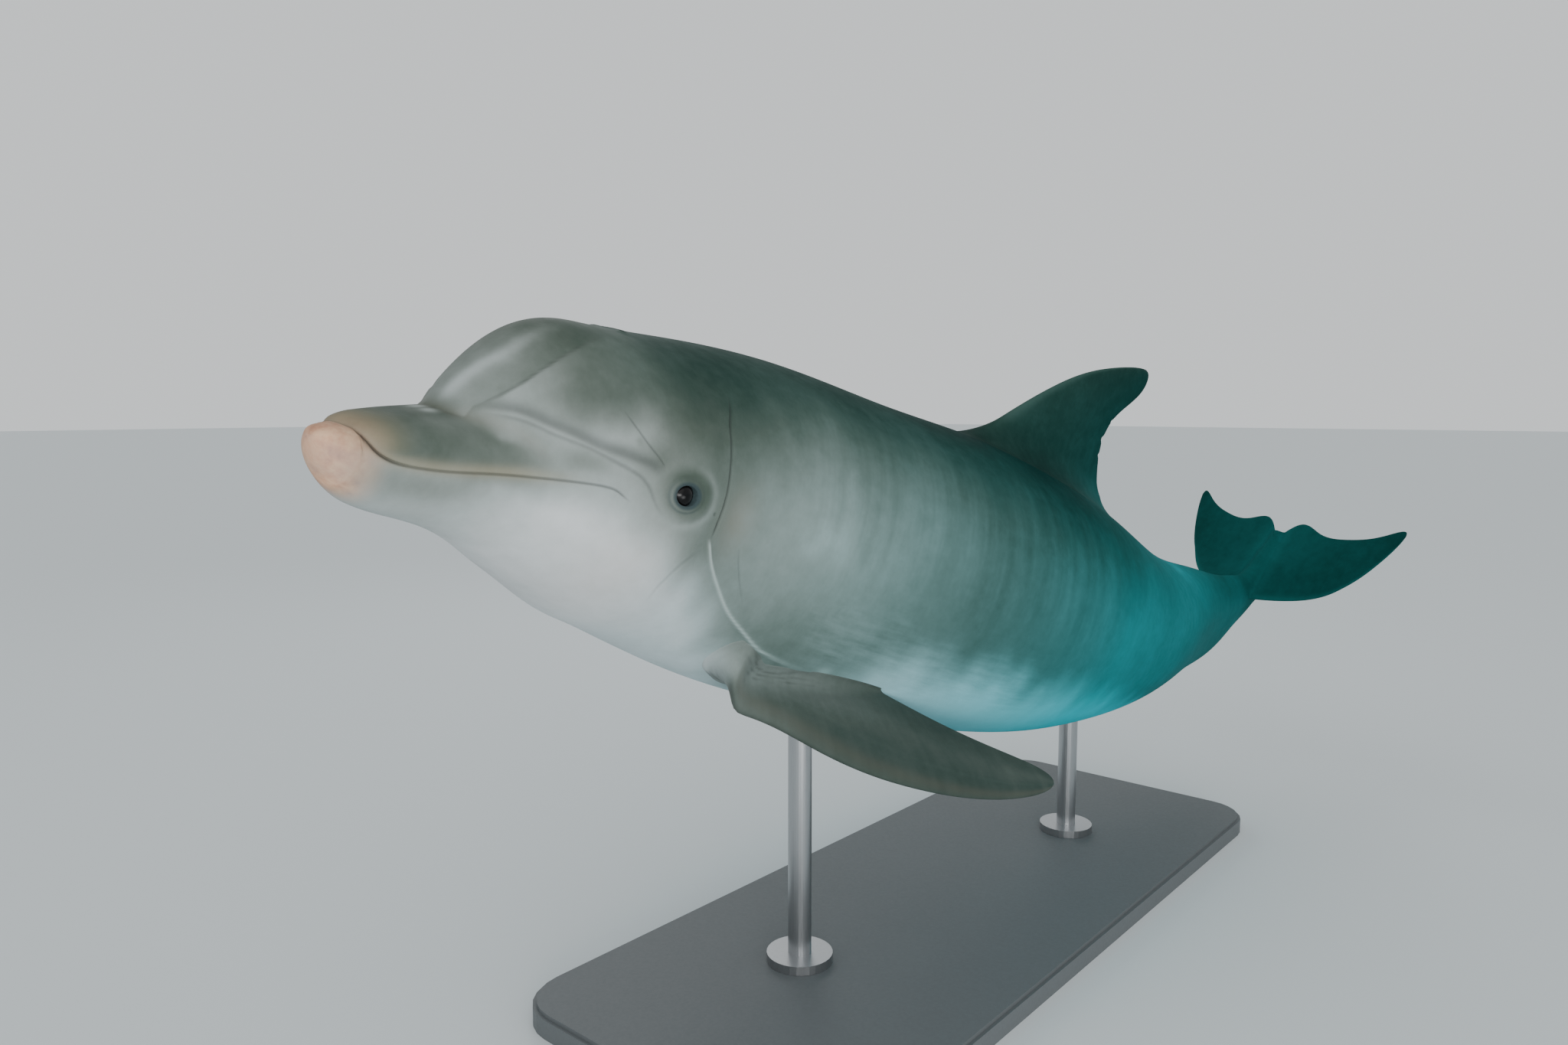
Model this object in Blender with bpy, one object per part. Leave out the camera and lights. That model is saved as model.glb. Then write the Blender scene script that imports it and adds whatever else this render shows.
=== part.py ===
"""Bottlenose dolphin: a life-size still model, held by a display stand with two rods.

Metres, +Z up, head toward -X, left side toward -Y. The origin is the middle of the base's underside.

The animal is described straight first: s runs back along the spine from the tip of the beak, y is
to the right and z is up from the level of the mouth. pose() then bends that space along the spine,
so each slice of the body across s stays flat and keeps its size. Every solid is cut after posing.
"""

import math

import bmesh
import bpy
import numpy as np
from mathutils import Matrix

GAP = 0.0003  # clearance between neighbouring solids
SEGMENTS = 30  # points round each slice of the body
REACH = 0.6  # half size of a cutter that passes right through the body

# --- sizes of the body -----------------------------------------------------------------------------
# (s, half width, top, bottom, roundness above, roundness below); 2 is an ellipse, more is squarer
TRUNK = [
    (0.10, 0.121, 0.129, 0.058, 2.0, 2.1),
    (0.20, 0.123, 0.135, 0.082, 2.0, 2.1),
    (0.30, 0.131, 0.141, 0.117, 2.1, 2.1),
    (0.36, 0.137, 0.146, 0.147, 2.1, 2.1),
    (0.45, 0.152, 0.157, 0.178, 2.1, 2.1),
    (0.60, 0.178, 0.176, 0.213, 2.1, 2.15),
    (0.80, 0.198, 0.190, 0.228, 2.1, 2.2),
    (1.00, 0.203, 0.207, 0.225, 2.05, 2.2),
    (1.20, 0.194, 0.204, 0.222, 2.0, 2.1),
    (1.40, 0.168, 0.180, 0.211, 1.95, 2.0),
    (1.60, 0.137, 0.142, 0.184, 1.85, 1.9),
    (1.80, 0.100, 0.111, 0.155, 1.75, 1.8),
    (2.00, 0.062, 0.086, 0.131, 1.7, 1.7),
    (2.15, 0.038, 0.060, 0.104, 1.7, 1.7),
    (2.25, 0.027, 0.045, 0.054, 1.8, 1.8),
    (2.34, 0.022, 0.022, 0.020, 2.0, 2.0),
    (2.43, 0.016, 0.010, 0.009, 2.0, 2.0),
]
BEAK = [
    (0.00, 0.030, 0.017, 0.034, 2.4, 2.3),
    (0.03, 0.033, 0.018, 0.042, 2.4, 2.3),
    (0.06, 0.037, 0.022, 0.051, 2.4, 2.3),
    (0.10, 0.043, 0.026, 0.058, 2.3, 2.2),
    (0.14, 0.050, 0.029, 0.065, 2.2, 2.1),
    (0.20, 0.068, 0.032, 0.083, 2.1, 2.1),
    (0.28, 0.092, 0.035, 0.110, 2.0, 2.1),
    (0.36, 0.100, 0.035, 0.127, 2.0, 2.0),
    (0.46, 0.080, 0.030, 0.106, 2.0, 2.0),
]
BEAK_END = BEAK[-1][0]
LOWER_TIP = (0.0050, 0.050)  # where the lower jaw starts, and the length over which it rounds off
UPPER_TIP = (0.0160, 0.035)
BULB = (0.58, 0.022)  # share of the height that the lower jaw's tip reaches, and within what length
MELON_START = 0.100  # foot of the melon, in the crease above the beak
MELON_RISE = (0.188, 2.50)  # length over which it rises, and how steeply
MELON_SPREAD = (0.275, 1.43)  # length over which it widens, and how full
CREASE_BLEND = 0.004  # softness of the crease between melon and beak

# --- mouth and eyes --------------------------------------------------------------------------------
# (s, z) of the mouth line: the lower jaw's tip stands up in front of the upper jaw
LIP = [
    (0.0225, 0.0150),
    (0.0265, 0.0085),
    (0.0320, 0.0020),
    (0.0420, -0.0040),
    (0.0580, -0.0078),
    (0.0800, -0.0092),
    (0.1100, -0.0085),
    (0.1500, -0.0050),
    (0.1900, -0.0010),
    (0.2300, 0.0022),
    (0.2520, 0.0028),
    (0.2660, 0.0005),
    (0.2770, -0.0050),
    (0.3000, -0.0090),
]
GAPE = 0.279  # corner of the mouth
UPPER_JAW_END = 0.122
EYE_AT = (0.338, 0.008)  # s and z
EYE_RADIUS = 0.0165
EYE_SINK = 0.0150  # depth of the eye's centre below the skin

# --- where the body is parted ----------------------------------------------------------------------
HEAD_END = 0.43
NECK_END = 0.56
CHEST_END = 0.98
ABDOMEN_END = 1.48
STOCK_END = 2.43

# --- fins: (share of the span, middle of the blade, chord) -----------------------------------------
DORSAL = [
    (0.00, 1.208, 0.404),
    (0.30, 1.228, 0.286),
    (0.60, 1.281, 0.208),
    (0.85, 1.366, 0.172),
    (1.00, 1.424, 0.116),
]
DORSAL_FOOT = 0.170
DORSAL_ROOT = 0.200
DORSAL_HEIGHT = 0.227
DORSAL_THICK = 0.036
FLUKE = [
    (0.00, 2.322, 0.184),
    (0.14, 2.351, 0.214),
    (0.35, 2.359, 0.180),
    (0.60, 2.379, 0.145),
    (0.85, 2.430, 0.114),
    (1.00, 2.496, 0.088),
]
FLUKE_SPAN = 0.283
FLUKE_START = 0.030  # share of the span where the blade leaves the tail stock
FLUKE_DROOP = 0.014
FLUKE_THICK = 0.026
FLIPPER = [
    (-0.12, -0.044, 0.180),
    (0.00, -0.014, 0.140),
    (0.30, 0.014, 0.148),
    (0.60, 0.034, 0.126),
    (0.85, 0.071, 0.095),
    (1.00, 0.104, 0.077),
]
FLIPPER_ROOT = (0.650, 0.091, -0.176)
FLIPPER_SPAN = 0.432
FLIPPER_FOOT = -0.30  # share of the span where the blade starts, inside the body
FLIPPER_SWEEP = 47.4  # degrees back
FLIPPER_DROOP = 11.2  # degrees down
FLIPPER_TWIST = 24.0  # degrees, leading edge down
FLIPPER_BOW = -0.010
FLIPPER_THICK = 0.034
TIP_ROUND = 8  # a higher power keeps the chord longer before the round tip
EDGE = 0.0004  # half thickness of a trailing edge
BLADE_POINTS = 7  # points on each face of a fin, front to back

# --- pose ------------------------------------------------------------------------------------------
# (start, end, degrees up, degrees to the left, degrees of roll) of each bend along the spine
BENDS = [
    (0.30, 0.80, -6.5, -25.5, 2.0),
    (0.80, 1.40, 4.5, 4.0, 0.0),
    (1.40, 1.90, 8.0, 5.5, -4.5),
    (1.90, 2.25, 8.3, -5.0, 0.5),
    (2.20, 2.35, 59.5, -17.5, 0.0),
]
HEADING, NOSE_UP, LEFT_DOWN = 17.3, 7.2, 13.8  # attitude of the head, degrees
HEAD_AT = (-1.060, -0.108, 0.760)  # the tip of the beak

# --- stand -----------------------------------------------------------------------------------------
BASE_LENGTH, BASE_WIDTH, BASE_HEIGHT = 1.30, 0.50, 0.030
BASE_CORNER = 0.070
BASE_BEVEL = 0.005
ROD_PLACES = {"stand_rod_front": 0.76, "stand_rod_rear": 1.46}  # s of the belly above each rod
ROD_RADIUS = 0.016
FLANGE_RADIUS, FLANGE_HEIGHT = 0.045, 0.012
ROD_SEGMENTS = 32


# --- curves ----------------------------------------------------------------------------------------
def smooth(t):
    t = np.clip(t, 0.0, 1.0)
    return t * t * (3.0 - 2.0 * t)


def curve(places, values):
    """A natural cubic spline through the given stations, as a function."""
    x, y = np.array(places, float), np.array(values, float)
    count, step = len(x), np.diff(x)
    system, right = np.eye(count), np.zeros(count)
    for i in range(1, count - 1):
        system[i, i - 1 : i + 2] = step[i - 1], 2 * (step[i - 1] + step[i]), step[i]
        right[i] = 6 * ((y[i + 1] - y[i]) / step[i] - (y[i] - y[i - 1]) / step[i - 1])
    bend = np.linalg.solve(system, right)

    def at(t):
        t = np.clip(t, x[0], x[-1])
        i = np.clip(np.searchsorted(x, t) - 1, 0, count - 2)
        after, before, h = t - x[i], x[i + 1] - t, step[i]
        cubic = (bend[i] * before**3 + bend[i + 1] * after**3) / (6 * h)
        return cubic + (y[i] / h - bend[i] * h / 6) * before + (y[i + 1] / h - bend[i + 1] * h / 6) * after

    return at


def columns(rows):
    places, *values = zip(*rows)
    return [curve(places, v) for v in values]


def cap(u, power):
    """Rises from 0 at u = 0 with a round front to 1 at u = 1."""
    return (1.0 - (1.0 - np.clip(u, 0.0, 1.0)) ** power) ** (1.0 / power)


# --- straight body ---------------------------------------------------------------------------------
def slice_radius(angle, width, top, bottom, above, below):
    up = np.sin(angle) >= 0
    height = np.maximum(np.where(up, top, bottom), 1e-6)
    power = np.where(up, above, below)
    across = (np.abs(np.cos(angle)) / np.maximum(width, 1e-6)) ** power
    return (across + (np.abs(np.sin(angle)) / height) ** power) ** (-1.0 / power)


def body_radius(s, angle):
    """Distance from the spine to the skin: the melon and trunk, softly joined to the beak."""
    width, top, bottom, above, below = (f(s) for f in TRUNK_AT)
    length, steep = MELON_RISE
    rise = 1.0 - (1.0 - np.clip((s - MELON_START) / length, 0.0, 1.0)) ** steep
    spread = cap((s - MELON_START) / MELON_SPREAD[0], MELON_SPREAD[1])
    chin = smooth((s - 0.16) / 0.20)  # the trunk's underside takes over from the jaw's without a dent
    low = bottom * (spread + (1 - spread) * chin)
    trunk = slice_radius(angle, width * spread, top * rise, low, above, below)
    trunk = np.where(s > MELON_START, trunk, 0.0)
    width, top, bottom, above, below = (f(s) for f in BEAK_AT)
    upper = smooth(0.5 + 0.9 * np.sin(angle))
    jaw_tip = cap((s - LOWER_TIP[0]) / LOWER_TIP[1], 2.0)
    bulb = BULB[0] * cap((s - LOWER_TIP[0]) / BULB[1], 2.0)
    tip = jaw_tip * (1 - upper) + np.maximum(bulb, cap((s - UPPER_TIP[0]) / UPPER_TIP[1], 2.0)) * upper
    beak = slice_radius(angle, width * tip, top * tip, bottom * tip, above, below)
    beak = np.where(s > BEAK_END, 0.0, beak)
    under = smooth(0.15 - 1.6 * np.sin(angle))  # soft below the mouth, sharp in the crease under the melon
    soft = CREASE_BLEND + 0.020 * under * smooth((s - 0.14) / 0.12)
    soft = soft * smooth((s - MELON_START + 0.008) / 0.02) * (1 - smooth((s - 0.36) / 0.10))
    return 0.5 * (trunk + beak + np.sqrt((trunk - beak) ** 2 + soft**2))


def body_rings(places, swell=0.0):
    s, angle = np.meshgrid(places, np.arange(SEGMENTS) * math.tau / SEGMENTS, indexing="ij")
    r = body_radius(s, angle) + swell
    return np.stack([s, r * np.cos(angle), r * np.sin(angle)], -1)


def spaced(start, end, step):
    return np.linspace(start, end, max(2, round((end - start) / step) + 1))


def body_places(start, end):
    """Slices between two places: closest at the beak's tip, the crease and the bend before the flukes."""
    first = LOWER_TIP[0]
    tip = first + 0.05 * (1 - np.cos(np.linspace(0.16, math.pi / 2, 9)))
    every = [tip, spaced(0.06, 0.096, 0.012), spaced(0.100, 0.16, 0.009), spaced(0.174, 0.42, 0.019)]
    every += [spaced(0.45, 1.45, 0.0625), spaced(1.51, 2.15, 0.053), spaced(2.17, STOCK_END, 0.015)]
    inner = [s for s in np.concatenate(every) if start + 0.004 < s < end - 0.004]
    return np.array([start, *inner, end])


# --- pose ------------------------------------------------------------------------------------------
def make_spine():
    s = np.linspace(-0.05, 2.60, 900)
    pitch, yaw, roll = (np.zeros(len(s)) for _ in range(3))
    for start, end, up, left, turn in BENDS:
        share = smooth((s - start) / (end - start))
        pitch += math.radians(up) * share
        yaw += math.radians(left) * share
        roll += math.radians(turn) * share
    along = np.stack([np.cos(pitch) * np.cos(yaw), np.cos(pitch) * np.sin(yaw), np.sin(pitch)], -1)
    level = np.stack([-np.sin(yaw), np.cos(yaw), 0 * yaw], -1)
    upright = np.cross(along, level)
    across = level * np.cos(roll)[:, None] + upright * np.sin(roll)[:, None]
    above = upright * np.cos(roll)[:, None] - level * np.sin(roll)[:, None]
    centre = np.cumsum((along[1:] + along[:-1]) / 2 * (s[1] - s[0]), 0)
    centre = np.vstack([np.zeros(3), centre])
    centre -= [np.interp(0.0, s, centre[:, k]) for k in range(3)]
    turn = Matrix.Rotation(math.radians(HEADING), 3, "Z") @ Matrix.Rotation(math.radians(NOSE_UP), 3, "Y")
    turn = np.array(turn @ Matrix.Rotation(math.radians(LEFT_DOWN), 3, "X"))
    return s, centre @ turn.T + HEAD_AT, across @ turn.T, above @ turn.T


def pose(points):
    places, centre, across, above = SPINE
    flat = np.asarray(points, float).reshape(-1, 3)

    def at(table):
        return np.stack([np.interp(flat[:, 0], places, table[:, k]) for k in range(3)], -1)

    posed = at(centre) + at(across) * flat[:, 1:2] + at(above) * flat[:, 2:3]
    return posed.reshape(np.shape(points))


# --- meshes ----------------------------------------------------------------------------------------
def material(name, colour, roughness, metallic=0.0):
    made = bpy.data.materials.new(name)
    made.use_nodes = True
    shader = made.node_tree.nodes["Principled BSDF"]
    shader.inputs["Base Color"].default_value = (*colour, 1.0)
    shader.inputs["Roughness"].default_value = roughness
    shader.inputs["Metallic"].default_value = metallic
    return made


def add_object(name, mesh_maker, look=None, sharp=40):
    """Fills a new object from a bmesh, with its faces pointing out; with no look it is a cutter."""
    mesh = bpy.data.meshes.new(name)
    bm = bmesh.new()
    mesh_maker(bm)
    bmesh.ops.recalc_face_normals(bm, faces=bm.faces)
    bm.to_mesh(mesh)
    bm.free()
    obj = bpy.data.objects.new(name, mesh)
    bpy.context.collection.objects.link(obj)
    if look:
        mesh.materials.append(look)
        mesh.shade_smooth()
        mesh.set_sharp_from_angle(angle=math.radians(sharp))
    else:
        obj.hide_render = True
        obj.display_type = "WIRE"
    return obj


def loft(rings):
    """A closed skin over posed rings of points, flat at both ends."""

    def fill(bm):
        loops = [[bm.verts.new(p) for p in ring] for ring in rings]
        count = len(loops[0])
        for a, b in zip(loops, loops[1:]):
            for i in range(count):
                j = (i + 1) % count
                bm.faces.new((a[i], a[j], b[j], b[i]))
        bm.faces.new(loops[0])
        bm.faces.new(loops[-1])
        bmesh.ops.triangulate(bm, faces=[f for f in bm.faces if len(f.verts) == 4])

    return fill


def cut(obj, cutter, operation="DIFFERENCE"):
    step = obj.modifiers.new(operation.lower(), "BOOLEAN")
    step.operation = operation
    step.object = cutter
    step.solver = "EXACT"


def body_part(name, start, end, look):
    return add_object(name, loft(pose(body_rings(body_places(start, end)))), look)


def prism(outline):
    """A bar across the whole head whose side view is the outline, a list of (s, z)."""

    def fill(bm):
        sides = []
        for y in (-REACH, REACH):
            straight = np.array([(s, y, z) for s, z in outline])
            sides.append([bm.verts.new(p) for p in pose(straight)])
        for i in range(len(outline)):
            j = (i + 1) % len(outline)
            bm.faces.new((sides[0][i], sides[0][j], sides[1][j], sides[1][i]))
        for side in sides:
            bm.faces.new(side)
        bmesh.ops.triangulate(bm, faces=bm.faces)

    return fill


# --- head ------------------------------------------------------------------------------------------
def jaw_outline(end, lift):
    """Side view of all that lies below the mouth line, which starts in front of the upper jaw."""
    places = [spaced(LIP[0][0], 0.060, 0.0055), spaced(0.10, 0.24, 0.047), spaced(0.254, end, 0.0065)]
    line = [(s, float(LIP_AT(s)) + lift) for s in np.concatenate(places)]
    return [(-0.15, LIP[0][1] + lift), *line, (end, -0.3), (-0.15, -0.3)]


def eye_centre(side):
    s, z = EYE_AT
    angle = np.array(math.pi - math.atan2(z, 0.13))
    radius = float(body_radius(np.array(s), angle)) - EYE_SINK
    return (s, side * -radius * math.cos(float(angle)), radius * math.sin(float(angle)))


def ball(centre, radius):
    def fill(bm):
        place = Matrix.Translation(pose(np.array([centre]))[0])
        bmesh.ops.create_uvsphere(bm, u_segments=12, v_segments=8, radius=radius, matrix=place)

    return fill


def build_head(skin, beak_skin, eye_look):
    whole = pose(body_rings(body_places(LOWER_TIP[0] + 0.0006, HEAD_END - GAP)))
    lower = add_object("lower_jaw", loft(whole), beak_skin)
    cut(lower, add_object("cutter_lower_jaw", prism(jaw_outline(GAPE, 0.0))), "INTERSECT")
    mouth = add_object("cutter_mouth", prism(jaw_outline(GAPE + GAP, GAP)))
    front = [(-0.15, -REACH), (-0.15, REACH), (UPPER_JAW_END, REACH), (UPPER_JAW_END, -REACH)]
    upper = add_object("upper_jaw", loft(whole), beak_skin)
    cut(upper, mouth)
    cut(upper, add_object("cutter_upper_jaw", prism(front)), "INTERSECT")
    head = add_object("head", loft(whole), skin)
    cut(head, mouth)
    behind = [(s + (GAP if s > 0 else 0.0), z) for s, z in front]
    cut(head, add_object("cutter_head", prism(behind)))
    for name, side in (("eye_left", -1), ("eye_right", 1)):
        centre = eye_centre(side)
        add_object(name, ball(centre, EYE_RADIUS), eye_look)
        cut(head, add_object("cutter_" + name, ball(centre, EYE_RADIUS + GAP)))


# --- fins ------------------------------------------------------------------------------------------
def blade(rows, shares, thick, place):
    """Rings of a fin: a rounded leading edge, a thin trailing edge and a round tip."""
    middle, chord = columns(rows)
    turn = np.linspace(0, math.pi, BLADE_POINTS)
    along = (1 - np.cos(turn)) / 2
    rings = []
    for v in shares:
        length = float(chord(v)) * math.sqrt(max(1 - max(v, 0.0) ** TIP_ROUND, 0.0004))
        body = thick * (1 - 0.78 * max(v, 0.0)) * min(1.0, length / 0.05)
        half = np.maximum(body * 1.299 * np.sqrt(along) * (1 - along), EDGE * (along > 0.5))
        x = float(middle(v)) + (along - 0.5) * length
        over = np.stack([x, np.full(BLADE_POINTS, v), half], -1)
        under = np.stack([x, np.full(BLADE_POINTS, v), -half], -1)[::-1]
        rings.append(place(np.vstack([over, under[:-1]])))
    return pose(np.array(rings))


def fin_shares(start, count):
    return start + (0.995 - start) * np.sin(np.linspace(0, math.pi / 2, count)) ** 0.9


def dorsal_place(p):
    height = DORSAL_ROOT + DORSAL_HEIGHT * p[:, 1]
    return np.stack([p[:, 0], p[:, 2], height], -1)


def fluke_place(side):
    def place(p):
        droop = -FLUKE_DROOP * p[:, 1] ** 2
        return np.stack([p[:, 0], side * FLUKE_SPAN * p[:, 1], p[:, 2] + droop], -1)

    return place


def flipper_place(side):
    sweep, droop, twist = (math.radians(a) for a in (FLIPPER_SWEEP, FLIPPER_DROOP, FLIPPER_TWIST))
    out, down = math.cos(sweep) * math.cos(droop), math.cos(sweep) * math.sin(droop)
    span = np.array([math.sin(sweep), -out, -down])
    back = np.array([1.0, 0.0, 0.0]) - span * span[0]
    back /= np.linalg.norm(back)
    flat = np.cross(span, back)
    chord = back * math.cos(twist) + flat * math.sin(twist)
    flat = flat * math.cos(twist) - back * math.sin(twist)
    root = np.array([FLIPPER_ROOT[0], -FLIPPER_ROOT[1], FLIPPER_ROOT[2]])
    way_out = root * np.array([0.0, 1.0, 1.0]) / np.hypot(root[1], root[2])

    def place(p):
        v = p[:, 1]
        outer = 0.5 * (v + np.sqrt(v**2 + 0.03**2))  # eases from the way in to the way out along the span
        out = root + FLIPPER_SPAN * (np.outer(outer, span) + np.outer(v - outer, way_out))
        out += np.outer(p[:, 0], chord) + np.outer(p[:, 2] + FLIPPER_BOW * np.maximum(v, 0) ** 2, flat)
        out[:, 1] *= -side
        return out

    return place


def build_fins(skin):
    swollen = add_object("cutter_body", loft(pose(body_rings(body_places(0.30, STOCK_END), GAP))))
    low = (DORSAL_FOOT - DORSAL_ROOT) / DORSAL_HEIGHT
    fins = {
        "dorsal_fin": blade(DORSAL, fin_shares(low, 12), DORSAL_THICK, dorsal_place),
        "fluke_left": blade(FLUKE, fin_shares(FLUKE_START, 13), FLUKE_THICK, fluke_place(-1)),
        "fluke_right": blade(FLUKE, fin_shares(FLUKE_START, 13), FLUKE_THICK, fluke_place(1)),
        "flipper_left": blade(FLIPPER, fin_shares(FLIPPER_FOOT, 12), FLIPPER_THICK, flipper_place(-1)),
        "flipper_right": blade(FLIPPER, fin_shares(FLIPPER_FOOT, 12), FLIPPER_THICK, flipper_place(1)),
    }
    for name, rings in fins.items():
        cut(add_object(name, loft(rings), skin), swollen)
    return swollen


# --- stand -----------------------------------------------------------------------------------------
def build_stand(base_look, rod_look, swollen):
    def plate(bm):
        corners = [(x, y) for x, y in ((1, 1), (-1, 1), (-1, -1), (1, -1))]
        verts = []
        for k, (x, y) in enumerate(corners):
            middle = (x * (BASE_LENGTH / 2 - BASE_CORNER), y * (BASE_WIDTH / 2 - BASE_CORNER))
            for step in range(7):
                a = math.pi / 2 * (k + step / 6)
                place = (middle[0] + BASE_CORNER * math.cos(a), middle[1] + BASE_CORNER * math.sin(a), 0.0)
                verts.append(bm.verts.new(place))
        floor = bm.faces.new(verts)
        top = bmesh.ops.extrude_face_region(bm, geom=[floor])["geom"]
        raised = [g for g in top if isinstance(g, bmesh.types.BMVert)]
        bmesh.ops.translate(bm, verts=raised, vec=(0, 0, BASE_HEIGHT))
        rim = [e for e in bm.edges if all(v in raised for v in e.verts)]
        bmesh.ops.bevel(bm, geom=rim, offset=BASE_BEVEL, segments=2, affect="EDGES")

    add_object("stand_base", plate, base_look, 30)
    for name, s in ROD_PLACES.items():
        foot = pose(np.array([(s, 0.0, 0.0)]))[0]
        bottom = BASE_HEIGHT + GAP
        heights = [(FLANGE_RADIUS, bottom), (FLANGE_RADIUS, bottom + FLANGE_HEIGHT)]
        heights += [(ROD_RADIUS, bottom + FLANGE_HEIGHT), (ROD_RADIUS, foot[2] - 0.05)]
        rings = []
        for radius, z in heights:
            turn = np.arange(ROD_SEGMENTS) * math.tau / ROD_SEGMENTS
            x, y = foot[0] + radius * np.cos(turn), foot[1] + radius * np.sin(turn)
            rings.append(np.stack([x, y, np.full(ROD_SEGMENTS, z)], -1))
        cut(add_object(name, loft(rings), rod_look, 30), swollen)


def main():
    for obj in list(bpy.data.objects):
        bpy.data.objects.remove(obj)
    back_skin = material("back_skin", (0.075, 0.105, 0.115), 0.42)
    flank_skin = material("flank_skin", (0.170, 0.205, 0.215), 0.45)
    head_skin = material("head_skin", (0.250, 0.280, 0.285), 0.45)
    beak_skin = material("beak_skin", (0.380, 0.340, 0.300), 0.48)
    eye_look = material("eye_gloss", (0.015, 0.013, 0.012), 0.08)
    base_look = material("stand_paint", (0.045, 0.048, 0.052), 0.40)
    rod_look = material("stand_steel", (0.560, 0.570, 0.580), 0.30, 1.0)
    build_head(head_skin, beak_skin, eye_look)
    body_part("neck", HEAD_END, NECK_END - GAP, flank_skin)
    body_part("chest", NECK_END, CHEST_END - GAP, flank_skin)
    body_part("abdomen", CHEST_END, ABDOMEN_END - GAP, flank_skin)
    body_part("tail_stock", ABDOMEN_END, STOCK_END, back_skin)
    swollen = build_fins(back_skin)
    build_stand(base_look, rod_look, swollen)


TRUNK_AT = columns(TRUNK)
BEAK_AT = columns(BEAK)
LIP_AT = columns(LIP)[0]
SPINE = make_spine()
main()
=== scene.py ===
"""Bottlenose dolphin: the skin, eyes and stand of the life-size display model, with camera and light.

The skin is described straight, as the solids are: s runs back along the spine from the tip of the
beak, y is to the right (the left side is -y) and z is up from the level of the mouth. pose() bends
that space along the spine. Marks and folds are worked out in the straight space.
"""

import math

import bpy
import numpy as np
from mathutils import Matrix, Vector


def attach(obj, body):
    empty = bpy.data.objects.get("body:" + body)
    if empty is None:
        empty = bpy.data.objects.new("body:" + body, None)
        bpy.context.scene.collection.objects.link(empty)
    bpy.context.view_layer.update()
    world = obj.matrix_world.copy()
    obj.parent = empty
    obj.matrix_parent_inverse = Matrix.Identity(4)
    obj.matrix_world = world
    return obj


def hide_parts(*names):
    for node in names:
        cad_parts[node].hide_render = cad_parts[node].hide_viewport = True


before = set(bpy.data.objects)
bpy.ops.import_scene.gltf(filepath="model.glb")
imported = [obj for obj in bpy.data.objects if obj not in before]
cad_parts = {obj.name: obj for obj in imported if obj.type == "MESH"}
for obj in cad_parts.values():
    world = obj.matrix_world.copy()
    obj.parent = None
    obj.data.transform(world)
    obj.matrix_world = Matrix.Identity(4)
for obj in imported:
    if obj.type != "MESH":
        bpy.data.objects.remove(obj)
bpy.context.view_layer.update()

# --- sizes of the body ---
# (s, half width, top, bottom, roundness above, roundness below); 2 is an ellipse, more is squarer
TRUNK = [
    (0.10, 0.121, 0.129, 0.058, 2.0, 2.1),
    (0.20, 0.123, 0.135, 0.082, 2.0, 2.1),
    (0.30, 0.131, 0.141, 0.117, 2.1, 2.1),
    (0.36, 0.137, 0.146, 0.147, 2.1, 2.1),
    (0.45, 0.152, 0.157, 0.178, 2.1, 2.1),
    (0.60, 0.178, 0.176, 0.213, 2.1, 2.15),
    (0.80, 0.198, 0.190, 0.228, 2.1, 2.2),
    (1.00, 0.203, 0.207, 0.225, 2.05, 2.2),
    (1.20, 0.194, 0.204, 0.222, 2.0, 2.1),
    (1.40, 0.168, 0.180, 0.211, 1.95, 2.0),
    (1.60, 0.137, 0.142, 0.184, 1.85, 1.9),
    (1.80, 0.100, 0.111, 0.155, 1.75, 1.8),
    (2.00, 0.062, 0.086, 0.131, 1.7, 1.7),
    (2.15, 0.038, 0.060, 0.104, 1.7, 1.7),
    (2.25, 0.027, 0.045, 0.054, 1.8, 1.8),
    (2.34, 0.022, 0.022, 0.020, 2.0, 2.0),
    (2.43, 0.016, 0.010, 0.009, 2.0, 2.0),
]
BEAK = [
    (0.00, 0.030, 0.017, 0.034, 2.4, 2.3),
    (0.03, 0.033, 0.018, 0.042, 2.4, 2.3),
    (0.06, 0.037, 0.024, 0.051, 2.4, 2.3),
    (0.10, 0.043, 0.032, 0.058, 2.3, 2.2),
    (0.14, 0.050, 0.037, 0.065, 2.2, 2.1),
    (0.20, 0.068, 0.036, 0.083, 2.1, 2.1),
    (0.28, 0.092, 0.035, 0.110, 2.0, 2.1),
    (0.36, 0.100, 0.035, 0.127, 2.0, 2.0),
    (0.46, 0.080, 0.030, 0.106, 2.0, 2.0),
]
BEAK_END = BEAK[-1][0]
LOWER_TIP = (0.0050, 0.050)  # where the lower jaw starts, and the length over which it rounds off
UPPER_TIP = (0.0215, 0.035)
BULB = (0.58, 0.022)  # share of the height that the lower jaw's tip reaches, and within what length
MELON_START = 0.102
MELON_RISE = (0.186, 2.50)
MELON_SPREAD = (0.275, 1.43)
CREASE_BLEND = 0.004
TAIL_END = 2.43

# --- mouth and eyes ---
# (s, z) of the mouth line, from the front of the upper jaw to the corner
LIP = [
    (0.0285, 0.0150), (0.0310, 0.0088), (0.035, 0.0022), (0.043, -0.0038), (0.058, -0.0078),
    (0.080, -0.0092), (0.110, -0.0085), (0.150, -0.0050), (0.190, -0.0010), (0.230, 0.0022),
    (0.252, 0.0028), (0.266, 0.0005), (0.277, -0.0050), (0.300, -0.0090),
]  # fmt: skip
GAPE = 0.279
EYE_AT = (0.344, 0.0085)  # s and z
EYE_REACH = 0.14  # roughly how far the eyes are from the spine
EYE_RADIUS = 0.0165
EYE_SINK = 0.0150
EYE_OPENING = (0.0143, 0.0103)  # half length and half height between the lids

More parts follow.
